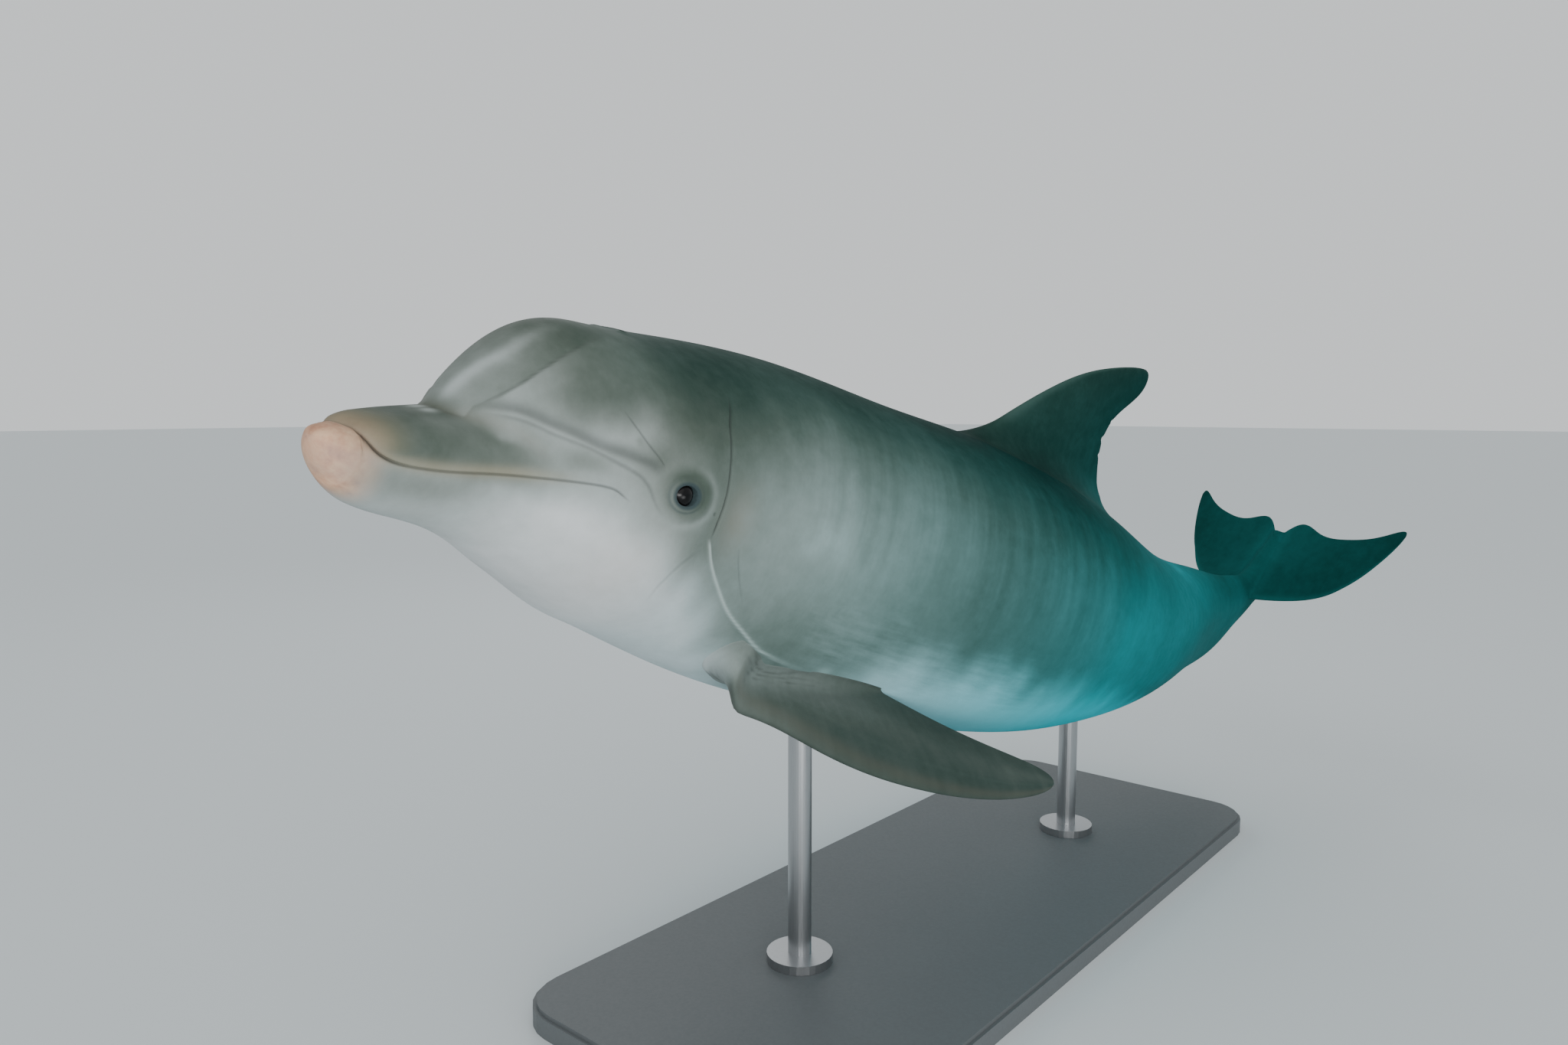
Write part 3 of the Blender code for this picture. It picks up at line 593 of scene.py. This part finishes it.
    # the lids, faint bands and streaks of the flank, and the water's tint
    lid = 0.9 * fall((share - 1.14) / 0.34)
    lid = np.maximum(lid, 0.35 * bump((share - 1.62) / 0.14) * (1.2 - high))
    bands = smooth((a - 0.42) / 0.1) * fall((a - 0.74) / 0.08)
    bands *= smooth((s - 0.50) / 0.12) * fall((s - 1.1) / 0.3)
    streaks = bump((a - 0.34) / 0.07) * smooth((s - 0.60) / 0.1) * fall((s - 1.05) / 0.2)
    cool = smooth((s - 0.40) / 1.15) + 0.10 * smooth((s - 0.30) / 0.15)
    cool += 0.22 * smooth((s - 0.20) / 0.2) * smooth((a - 0.66) / 0.2)
    cool = np.clip(cool, 0, 1)
    return {
        "tone": tone, "ink": ink, "chalk": chalk, "blush": blush, "lid": lid, "bands": bands,
        "streaks": streaks, "cool": cool, "ochre": ochre,
    }  # fmt: skip


# (height over which the body's marks give way, shade at the root, shade toward the tip)
FIN_SHADES = {"dorsal": (0.07, 0.84, 0.90), "fluke": (0.03, 0.78, 0.86), "flipper": (0.004, 0.55, 0.81)}


def fin_marks(name, p, v, along):
    """The same marks for a fin, from the share of its span and of its chord."""
    marks = body_marks(p)
    gap = np.maximum(skin_gap(p), 0)
    reach, shade, end = FIN_SHADES[name]
    front = bump(along / 0.05)
    if name == "flipper":  # its root is pale in front
        lead = bump(along / 0.20)
        away = smooth(gap / (reach + 0.026 * lead) + 0.9 * (1 - lead))
        inner = np.arange(p.shape[1]) > p.shape[1] / 2
        web = fall((p[..., 0] - 0.578) / 0.03)
        web = np.where(inner, np.maximum(web, bump(along / 0.35)), web)
        away = away * (1 - 0.9 * web * fall((gap - 0.014) / 0.02))
        tone = shade + (end - shade) * smooth(np.abs(v) / 0.55)
        # painted shade along the leading part of the blade near its root, and a lighter band at mid-chord
        inboard_shade = fall((v - 0.05) / 0.55) * smooth((gap - 0.012) / 0.03)
        tone += 0.13 * bump((along - 0.12) / 0.22) * inboard_shade - 0.07 * bump((along - 0.55) / 0.2)
    else:
        away = smooth(gap / reach)
        tone = shade + (end - shade) * np.abs(v) - 0.10 * front
    out = {key: value * (1 - away) for key, value in marks.items()}
    out["tone"] += tone * away
    out["cool"] = marks["cool"] * (0.50 + 0.42 * along if name == "dorsal" else 1.0)
    out["blush"] = np.maximum(out["blush"], 0.02 * front * away)
    out["ink"] = np.where(away > 0.5, 0.0, out["ink"])
    if name == "flipper":
        out["cool"] = np.full_like(tone, 0.05)
        out["lid"] = 0.25 * away
        out["blush"] = 0.04 * bump((along - 0.07) / 0.08) * away
        for height in WRINKLES:
            line = bump((gap - height - 0.0015 * np.sin(60 * p[..., 0])) / 0.0007)
            out["ink"] = np.maximum(out["ink"], 0.45 * line * bump((along - 0.34) / 0.22))
    out["streaks"] = np.zeros_like(tone)
    out["bands"] = 0.8 * away if name == "flipper" else np.zeros_like(tone)
    return out


# --- fins ---
def blade(rows, v, t, thick, place):
    """Points of a fin: v is the share of its span, t the turn round its section."""
    share = np.abs(v) if place is fluke_place else v
    middle, chord = columns(rows)
    along = (1 - np.cos(t)) / 2
    length = chord(share) * np.sqrt(np.maximum(1 - v**TIP_ROUND, 0)) + 1e-4
    body = thick * (1 - 0.78 * np.clip(share, 0, 1)) * np.minimum(1, length / 0.05)
    half = body * SECTION * np.sqrt(along) * (1 - along)
    half += EDGE * np.sqrt(np.maximum(1 - along, 0)) * (along > 0.3)
    half = half * np.where(t <= math.pi, 1.0, -1.0)
    return place(np.stack([middle(share) + (along - 0.5) * length, v, half], -1))


def dorsal_place(p):
    x, v = p[..., 0], p[..., 1]
    middle, chord = columns(DORSAL)
    rear = smooth((x - middle(v)) / (0.5 * chord(v)) * 2 - 1)
    nick = sum(depth * bump((v - share) / reach) for share, depth, reach in NICKS)
    return np.stack([x - nick * rear, p[..., 2], DORSAL_ROOT + DORSAL_HEIGHT * v], -1)


def stock_height(s, y, top):
    """Half thickness of the tail stock beside its middle plane, above or below."""
    width, up, down, above, below = (f(s) for f in TRUNK_AT)
    height, power = (up, above) if top else (down, below)
    inside = np.clip(1 - (np.abs(y) / width) ** power, 0, 1)
    return np.where(s < TAIL_END, height * inside ** (1 / power), 0.0)


def fluke_place(p):
    """Both flukes as one blade, which swells over the tail stock that runs into it."""
    x, v, half = p[..., 0], p[..., 1], p[..., 2]
    y = FLUKE_SPAN * v
    lead = smooth((x - FLUKE[0][1] + 0.5 * FLUKE[0][2]) / 0.050)  # 0 at the leading edge
    out = []
    for top in (True, False):
        stock = stock_height(x, y, top)
        soft = FLUKE_BLEND * smooth(stock / 0.02)
        joined = 0.5 * (np.abs(half) + stock + np.sqrt((np.abs(half) - stock) ** 2 + soft**2))
        under = -0.0030 * (1 - lead) * smooth(stock / 0.01)
        out.append(joined * np.where(stock > 0.001, 0.80 + 0.20 * lead, 1.0) + under)
    z = np.where(half >= 0, out[0], -out[1])
    return np.stack([x, y, z - FLUKE_DROOP * v**2], -1)


def flipper_place(side):
    """The place of a flipper's points; side is -1 on the left and 1 on the right."""
    sweep, droop, twist = (math.radians(a) for a in (FLIPPER_SWEEP, FLIPPER_DROOP, FLIPPER_TWIST))
    span = np.array([math.tan(sweep), -math.cos(droop), -math.sin(droop)]) * math.cos(sweep)
    back = np.array([1.0, 0.0, 0.0]) - span * span[0]
    back /= np.linalg.norm(back)
    flat = np.cross(span, back)
    chord = back * math.cos(twist) + flat * math.sin(twist)
    flat = flat * math.cos(twist) - back * math.sin(twist)
    root = np.array([FLIPPER_ROOT[0], -FLIPPER_ROOT[1], FLIPPER_ROOT[2]])
    way_out = root * np.array([0.0, 1.0, 1.0]) / np.hypot(root[1], root[2])

    def place(p):
        v = p[..., 1:2]
        bow = p[..., 2:3] + FLIPPER_BOW * np.maximum(v, 0) ** 2
        outer = 0.5 * (v + np.sqrt(v**2 + FLIPPER_EASE**2))
        out = root + FLIPPER_SPAN * (outer * span + (v - outer) * way_out)
        out += p[..., 0:1] * chord + bow * flat
        out[..., 1] *= -side
        return out

    return place


def fin_grid(rows, start, thick, place, fillet, steps, front=1.0, rear=1.0):
    """A fin, flared into the skin; front and rear are the flare's shares at its two edges."""
    turns = np.arange(2 * steps) * math.pi / steps
    ahead, behind = (np.maximum(side * np.cos(turns), 0) ** 2 for side in (1, -1))
    fillet = fillet * (1 + (front - 1) * ahead + (rear - 1) * behind)
    probe = np.linspace(start, 0.999, 500)
    gap = skin_gap(blade(rows, *np.meshgrid(probe, turns, indexing="ij"), thick, place))
    rise = 1 - np.cos(np.linspace(0, math.pi / 2, 15)[1:])
    shares = []
    for column, depth in zip(gap.T, fillet):
        last = np.max(np.nonzero(column < 0)[0], initial=0)
        rising = np.maximum.accumulate(column[last:]) + np.arange(len(probe) - last) * 1e-9
        first = np.interp(np.concatenate([[-0.0008, 0.0], depth * rise]), rising, probe[last:])
        free = np.sin(np.linspace(0, math.pi / 2, steps + 1)[1:]) ** 0.95
        shares.append(np.concatenate([first, first[-1] + (TIP_SHARE - first[-1]) * free]))
    v = np.array(shares).T
    t = np.repeat(turns[None], len(v), 0)
    grid = blade(rows, v, t, thick, place)
    step = blade(rows, v + 1e-3, t, thick, place) - grid
    normal = np.cross(np.roll(grid, -1, 1) - np.roll(grid, 1, 1), step)
    normal /= np.maximum(np.linalg.norm(normal, axis=-1, keepdims=True), 1e-12)
    normal *= np.sign(np.sum(normal * (grid - grid.mean(1, keepdims=True))))
    wanted = skin_gap(grid)
    depth = np.clip(wanted, 0, fillet)
    flare = fillet - np.sqrt(np.maximum(fillet**2 - (fillet - depth) ** 2, 0))
    moved = grid + normal * flare[..., None]
    near = (wanted < fillet)[..., None]
    for _ in range(5):
        out = moved * np.array([0.0, 1.0, 1.0])
        out /= np.maximum(np.linalg.norm(out, axis=-1, keepdims=True), 1e-9)
        moved = np.where(near, moved + out * (wanted - skin_gap(moved))[..., None], moved)
    return moved, v, (1 - np.cos(t)) / 2


def fluke_grid(steps):
    turns = np.arange(2 * steps) * math.pi / steps
    side = TIP_SHARE * np.cos(np.linspace(0, math.pi / 2, 2 * steps))[:-1]
    v, t = np.meshgrid(np.concatenate([-side, [0.0], side[::-1]]), turns, indexing="ij")
    return blade(FLUKE, v, t, FLUKE_THICK, fluke_place), v, (1 - np.cos(t)) / 2


# --- skin ---
MARKS = ("tone", "ink", "chalk", "blush", "lid", "bands", "streaks", "cool", "ochre")
HEAD_END = 0.50  # s at which the body's unwrap is split
# u, v corners of each chart of the unwrap; the head gets the most room
CHARTS = [
    (0.00, 0.00, 1.00, 0.52), (0.00, 0.53, 1.00, 0.80), (0.00, 0.81, 0.24, 1.00),
    (0.25, 0.81, 0.49, 1.00), (0.50, 0.81, 0.74, 1.00), (0.75, 0.81, 1.00, 1.00),
]  # fmt: skip


def chart(rows, count, box):
    """Unwrap of the faces of a closed grid, as the corners of each."""
    i, j = np.meshgrid(np.arange(rows - 1), np.arange(count), indexing="ij")
    corners = np.stack([np.stack([j + dj, i + di], -1) for di, dj in ((0, 0), (0, 1), (1, 1), (1, 0))], -2)
    share = corners.reshape(-1, 4, 2) / np.array([count, rows - 1])
    return np.array(box[:2]) + share * (np.array(box[2:]) - np.array(box[:2]))


def grid_faces(rows, count, offset):
    i, j = np.meshgrid(np.arange(rows - 1), np.arange(count), indexing="ij")
    a, b = offset + i * count + j, offset + i * count + (j + 1) % count
    return np.stack([a, b, b + count, a + count], -1).reshape(-1, 4)


def faces_out(grid):
    normal = np.cross(np.roll(grid, -1, 1) - grid, np.gradient(grid, axis=0))
    return np.sum(normal * (grid - grid.mean(1, keepdims=True))) > 0


def keep_rest(mesh, points):
    """Keeps the points that the materials' textures are laid out on."""
    rest = mesh.attributes.new("rest", "FLOAT_VECTOR", "POINT")
    rest.data.foreach_set("vector", points.astype(np.float32).ravel())


def build_skin():
    body = gather_round_eye(body_grid())
    shaped = body + grid_normals(body) * fold_depth(body)[..., None]
    pieces = [(shaped, body, body_marks(body))]
    steps = int(64 * FINE)
    low = (DORSAL_FOOT - DORSAL_ROOT) / DORSAL_HEIGHT - 0.3
    fins = [("dorsal", fin_grid(DORSAL, low, DORSAL_THICK, dorsal_place, DORSAL_FILLET, steps))]
    for side in (-1, 1):
        place = flipper_place(side)
        grid = fin_grid(FLIPPER, -0.6, FLIPPER_THICK, place, FLIPPER_FILLET, steps, *FLIPPER_FLARE)
        fins.append(("flipper", grid))
    fins.append(("fluke", fluke_grid(steps)))
    pieces += [(grid, grid, fin_marks(name, grid, v, along)) for name, (grid, v, along) in fins]
    straight, rest, quads, charts, marks = [], [], [], [], []
    offset, split = 0, int(np.searchsorted(body[:, 0, 0], HEAD_END))
    for k, (grid, plain, mark) in enumerate(pieces):
        rows, count = grid.shape[:2]
        if k == 0:
            uv = np.concatenate([chart(split + 1, count, CHARTS[0]), chart(rows - split, count, CHARTS[1])])
        else:
            uv = chart(rows, count, CHARTS[k + 1])
        faces = grid_faces(rows, count, offset)
        turn = 1 if faces_out(grid) else -1
        quads.append(faces[:, ::turn])
        charts.append(uv[:, ::turn])
        straight.append(grid.reshape(-1, 3))
        rest.append(plain.reshape(-1, 3))
        marks.append(mark)
        offset += rows * count
    posed, rest = pose(np.concatenate(straight)), np.concatenate(rest)
    quads, charts = np.concatenate(quads), np.concatenate(charts)
    mesh = bpy.data.meshes.new("skin")
    mesh.vertices.add(len(posed))
    mesh.vertices.foreach_set("co", posed.astype(np.float32).ravel())
    mesh.loops.add(quads.size)
    mesh.loops.foreach_set("vertex_index", quads.astype(np.int32).ravel())
    mesh.polygons.add(len(quads))
    mesh.polygons.foreach_set("loop_start", np.arange(0, quads.size, 4, dtype=np.int32))
    mesh.update(calc_edges=True)
    mesh.uv_layers.new(name="OFBake").uv.foreach_set("vector", charts.astype(np.float32).ravel())
    keep_rest(mesh, rest)
    for name in MARKS:
        values = np.concatenate([m[name].ravel() for m in marks])
        mesh.attributes.new(name, "FLOAT", "POINT").data.foreach_set("value", values.astype(np.float32))
    mesh.shade_smooth()
    skin = bpy.data.objects.new("skin", mesh)
    bpy.context.collection.objects.link(skin)
    return skin


# --- materials ---
def srgb(*values):
    """Linear colour from a display colour of 0 to 255."""
    return tuple((v / 255 / 12.92) if v < 10 else ((v / 255 + 0.055) / 1.055) ** 2.4 for v in values)


class Look:
    """A node material, and short ways to add its nodes."""

    def __init__(self, name):
        self.material = bpy.data.materials.new(name)
        self.material.use_nodes = True
        self.tree = self.material.node_tree
        self.shader = self.tree.nodes["Principled BSDF"]

    def put(self, socket, value):
        if isinstance(value, bpy.types.NodeSocket):
            self.tree.links.new(value, socket)
        elif socket.type == "RGBA":
            socket.default_value = (*value, 1.0)
        else:
            socket.default_value = value

    def set(self, **values):
        for name, value in values.items():
            self.put(self.shader.inputs[name.replace("_", " ")], value)
        return self.material

    def attribute(self, name, vector=False):
        node = self.tree.nodes.new("ShaderNodeAttribute")
        node.attribute_name = name
        return node.outputs["Vector" if vector else "Fac"]

    def noise(self, vector, scale, detail=3.0, stretch=(1, 1, 1), rough=0.55):
        mapping = self.tree.nodes.new("ShaderNodeMapping")
        self.put(mapping.inputs["Vector"], vector)
        mapping.inputs["Scale"].default_value = stretch
        node = self.tree.nodes.new("ShaderNodeTexNoise")
        self.put(node.inputs["Vector"], mapping.outputs[0])
        for name, value in (("Scale", scale), ("Detail", detail), ("Roughness", rough)):
            node.inputs[name].default_value = value
        return node.outputs["Fac"]

    def math(self, kind, a, b=0.0, clamp=False):
        node = self.tree.nodes.new("ShaderNodeMath")
        node.operation = kind
        node.use_clamp = clamp
        self.put(node.inputs[0], a)
        self.put(node.inputs[1], b)
        return node.outputs[0]

    def ramp(self, value, stops):
        node = self.tree.nodes.new("ShaderNodeValToRGB")
        self.put(node.inputs[0], value)
        parts = node.color_ramp.elements
        while len(parts) < len(stops):
            parts.new(0.5)
        for part, (place, colour) in zip(parts, stops):
            part.position = place
            part.color = (*colour, 1.0)
        return node.outputs["Color"]

    def mix(self, share, a, b, blend="MIX"):
        node = self.tree.nodes.new("ShaderNodeMix")
        node.data_type, node.blend_type = "RGBA", blend
        for socket, value in ((node.inputs[0], share), (node.inputs[6], a), (node.inputs[7], b)):
            self.put(socket, value)
        return node.outputs[2]

    def bumped(self, height, depth, strength=1.0, normal=None):
        node = self.tree.nodes.new("ShaderNodeBump")
        node.inputs["Strength"].default_value = strength
        node.inputs["Distance"].default_value = depth
        self.put(node.inputs["Height"], height)
        if normal is not None:
            self.put(node.inputs["Normal"], normal)
        return node.outputs[0]


# display colours from the pale belly to the dark back
TONES = [
    (0.00, (202, 206, 207)), (0.20, (168, 176, 175)), (0.40, (135, 143, 139)), (0.56, (106, 114, 108)),
    (0.72, (77, 87, 79)), (0.88, (45, 61, 53)), (1.00, (18, 40, 34)),
]  # fmt: skip
WORN = [(0.22, (170, 112, 92)), (0.46, (214, 164, 134)), (0.68, (228, 192, 160))]  # the jaw's tip
COOL = (0.03, 0.92, 1.08)  # what the water's tint leaves of red, green and blue


def skin_look():
    look = Look("skin_look")
    rest = look.attribute("rest", vector=True)
    cloud, mottle = look.noise(rest, 7, 4), look.noise(rest, 55, 4)
    pores, grain = look.noise(rest, 420, 2), look.noise(rest, 160, 3)
    bands = look.noise(rest, 1, 2, (46, 3, 3))
    streaks = look.noise(rest, 1, 3, (16, 70, 120))
    streaked = look.attribute("streaks")
    tone = look.attribute("tone")
    for pattern, weight, where in (
        (cloud, 0.16, None), (mottle, 0.10, None), (grain, 0.04, None),
        (bands, 0.16, look.attribute("bands")), (streaks, 0.24, streaked),
    ):  # fmt: skip
        part = look.math("MULTIPLY", look.math("SUBTRACT", pattern, 0.5), weight)
        tone = look.math("ADD", tone, look.math("MULTIPLY", part, where) if where else part)
    colour = look.ramp(tone, [(t, srgb(*c)) for t, c in TONES])
    blush = look.attribute("blush")
    speckle = look.math("ADD", look.math("MULTIPLY", mottle, 0.6), look.math("MULTIPLY", grain, 0.4))
    raw = look.math("MULTIPLY", look.math("SUBTRACT", blush, 0.95), 0.4, True)
    worn = look.ramp(look.math("SUBTRACT", speckle, raw), [(t, srgb(*c)) for t, c in WORN])
    share = look.math("MULTIPLY", blush, look.math("ADD", look.math("MULTIPLY", mottle, 0.8), 0.60), True)
    colour = look.mix(look.attribute("ochre"), colour, srgb(146, 138, 114))
    colour = look.mix(share, colour, worn)
    colour = look.mix(look.attribute("chalk"), colour, srgb(196, 204, 200))
    colour = look.mix(look.attribute("lid"), colour, srgb(56, 68, 71))
    colour = look.mix(look.attribute("ink"), colour, srgb(52, 54, 52))
    colour = look.mix(look.attribute("cool"), colour, look.mix(1.0, colour, COOL, "MULTIPLY"))
    rough = look.math("ADD", look.math("MULTIPLY", mottle, 0.14), 0.44)
    rough = look.math("ADD", rough, look.math("MULTIPLY", look.attribute("cool"), 0.25))
    fine = look.bumped(pores, 0.0003, 0.5)
    wrinkled = look.bumped(look.math("MULTIPLY", streaks, streaked), 0.0012, 0.5, fine)
    return look.set(Base_Color=colour, Roughness=rough, Normal=wrinkled, Specular_IOR_Level=0.03)


skin = build_skin()
skin.data.materials.append(skin_look())
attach(skin, "root")
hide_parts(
    "upper_jaw", "lower_jaw", "head", "neck", "chest", "abdomen", "tail_stock", "dorsal_fin",
    "flipper_left", "flipper_right", "fluke_left", "fluke_right",
)  # fmt: skip


# --- eyes ---
def eye_look():
    look = Look("eye_look")
    place = look.attribute("rest", vector=True)
    split = look.tree.nodes.new("ShaderNodeSeparateXYZ")
    look.put(split.inputs[0], place)
    veins = look.noise(place, 3.0, 4, (6, 6, 1))
    uneven = look.math("MULTIPLY", look.math("SUBTRACT", veins, 0.5), 0.10)
    ring = look.math("ADD", split.outputs[2], uneven)
    colour = look.ramp(ring, [
        (0.00, srgb(92, 74, 72)), (0.42, srgb(58, 46, 44)), (0.56, srgb(26, 22, 21)),
        (0.80, srgb(14, 12, 12)), (0.90, srgb(5, 5, 6)), (1.00, srgb(3, 3, 4)),
    ])  # fmt: skip
    return look.set(Base_Color=colour, Roughness=0.22, Specular_IOR_Level=0.22)


def skin_point(s, angle):
    radius = float(body_radius(np.array(s), np.array(angle)))
    return np.array([s, radius * math.cos(angle), radius * math.sin(angle)])


def build_eye(name, side, look):
    s, z = EYE_AT
    up = math.asin(z / EYE_REACH)
    angle = math.pi - up if side < 0 else up
    at, edge = skin_point(s, angle), 1e-3
    out = np.cross(skin_point(s + edge, angle) - at, skin_point(s, angle + edge) - at)
    out /= np.linalg.norm(out)
    out *= np.sign(out[1] * side)
    level = np.array([1.0, 0.0, 0.0]) - out * out[0]
    level /= np.linalg.norm(level)
    upright = np.cross(out, level)
    steps = 56
    turn = np.arange(2 * steps) * math.pi / steps
    lift, turn = np.meshgrid(np.linspace(0.001, math.pi - 0.001, steps), turn, indexing="ij")
    ball = np.stack([np.sin(lift) * np.cos(turn), np.sin(lift) * np.sin(turn), np.cos(lift)], -1)
    swell = 1 + 0.05 * smooth((ball[..., 2:] - 0.72) / 0.28)  # the clear front bulges
    points = at - out * EYE_SINK + EYE_RADIUS * swell * (ball @ np.stack([level, upright, out]))
    mesh = bpy.data.meshes.new("eyeball_" + name)
    faces = grid_faces(*points.shape[:2], 0)
    if not faces_out(pose(points)):
        faces = faces[:, ::-1]
    mesh.from_pydata(pose(points).reshape(-1, 3).tolist(), [], faces.tolist())
    keep_rest(mesh, ball)
    mesh.shade_smooth()
    mesh.materials.append(look)
    ball_object = bpy.data.objects.new("eyeball_" + name, mesh)
    bpy.context.collection.objects.link(ball_object)
    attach(ball_object, "root")
    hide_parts("eye_" + name)


EYE_LOOK = eye_look()
build_eye("left", -1, EYE_LOOK)
build_eye("right", 1, EYE_LOOK)


# --- stand ---
def stand_look(name, colour, roughness, metal, scale, stretch):
    look = Look(name)
    place = look.tree.nodes.new("ShaderNodeTexCoord").outputs["Object"]
    grain = look.noise(place, scale, 4, stretch)
    cloud = look.noise(place, 9, 3)
    shade = look.mix(look.math("MULTIPLY", grain, 0.5), colour, tuple(0.72 * c for c in colour))
    shade = look.mix(look.math("MULTIPLY", cloud, 0.35), shade, tuple(min(1.0, 1.15 * c) for c in colour))
    rough = look.math("ADD", look.math("MULTIPLY", grain, 0.18), roughness - 0.09)
    ground = look.bumped(grain, 0.0002, 0.4)
    return look.set(Base_Color=shade, Roughness=rough, Metallic=metal, Normal=ground)


paint = stand_look("stand_paint_look", srgb(92, 97, 99), 0.55, 0.0, 220, (1, 1, 1))
steel = stand_look("stand_steel_look", srgb(176, 178, 180), 0.32, 1.0, 60, (6, 6, 0.5))
for node, look in (("stand_base", paint), ("stand_rod_front", steel), ("stand_rod_rear", steel)):
    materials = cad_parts[node].data.materials
    materials.clear()
    materials.append(look)

# --- floor, light and camera ---
floor_mesh = bpy.data.meshes.new("floor")
floor_mesh.from_pydata([(-40, -40, 0), (40, -40, 0), (40, 40, 0), (-40, 40, 0)], [], [(0, 1, 2, 3)])
floor = bpy.data.objects.new("floor", floor_mesh)
bpy.context.collection.objects.link(floor)
floor.data.materials.append(Look("floor_look").set(Base_Color=srgb(214, 220, 222), Roughness=0.8))

world = bpy.data.worlds.new("studio")
world.use_nodes = True
world.node_tree.nodes["Background"].inputs["Color"].default_value = (0.95, 0.985, 1.0, 1)
world.node_tree.nodes["Background"].inputs["Strength"].default_value = 0.85
bpy.context.scene.world = world


def area_light(name, place, target, width, height, power, spread=180):
    data = bpy.data.lights.new(name, "AREA")
    data.shape = "ELLIPSE"
    data.size, data.size_y, data.energy, data.spread = width, height, power, math.radians(spread)
    lamp = bpy.data.objects.new(name, data)
    lamp.location = place
    lamp.rotation_euler = (Vector(target) - Vector(place)).to_track_quat("-Z", "Y").to_euler()
    lamp.visible_camera = False
    bpy.context.collection.objects.link(lamp)


area_light("key", (-1.9, -2.4, 2.6), (-0.3, 0.0, 0.6), 2.6, 2.6, 10)
# The two low lamps keep clear of the floor and send little light down to it.
area_light("fill", (-2.7, -2.5, 0.62), (-0.1, 0.0, 0.66), 1.5, 0.9, 20.5, 130)
area_light("rim", (1.5, 2.6, 2.6), (0.3, 0.0, 0.6), 1.6, 1.6, 10)
area_light("bounce", (-0.9, -1.3, 0.28), (-0.7, -0.1, 0.7), 0.8, 0.4, 2.4, 140)

CAMERA_AT = Vector((-0.3836, -0.7801, 0.020)) + Vector(HEAD_AT)
FOCAL, PICTURE_WIDTH = 25.43555, 36.0  # mm
azimuth, elevation = math.radians(-49.5), math.radians(6.0)
behind = Vector((math.sin(azimuth), -math.cos(azimuth), math.tan(elevation)))
camera_data = bpy.data.cameras.new("camera")
camera_data.sensor_width, camera_data.lens = PICTURE_WIDTH, FOCAL
camera_data.clip_start = 0.01
camera = bpy.data.objects.new("camera", camera_data)
camera.location = CAMERA_AT
camera.rotation_euler = behind.to_track_quat("Z", "Y").to_euler()
bpy.context.collection.objects.link(camera)
bpy.context.scene.camera = camera
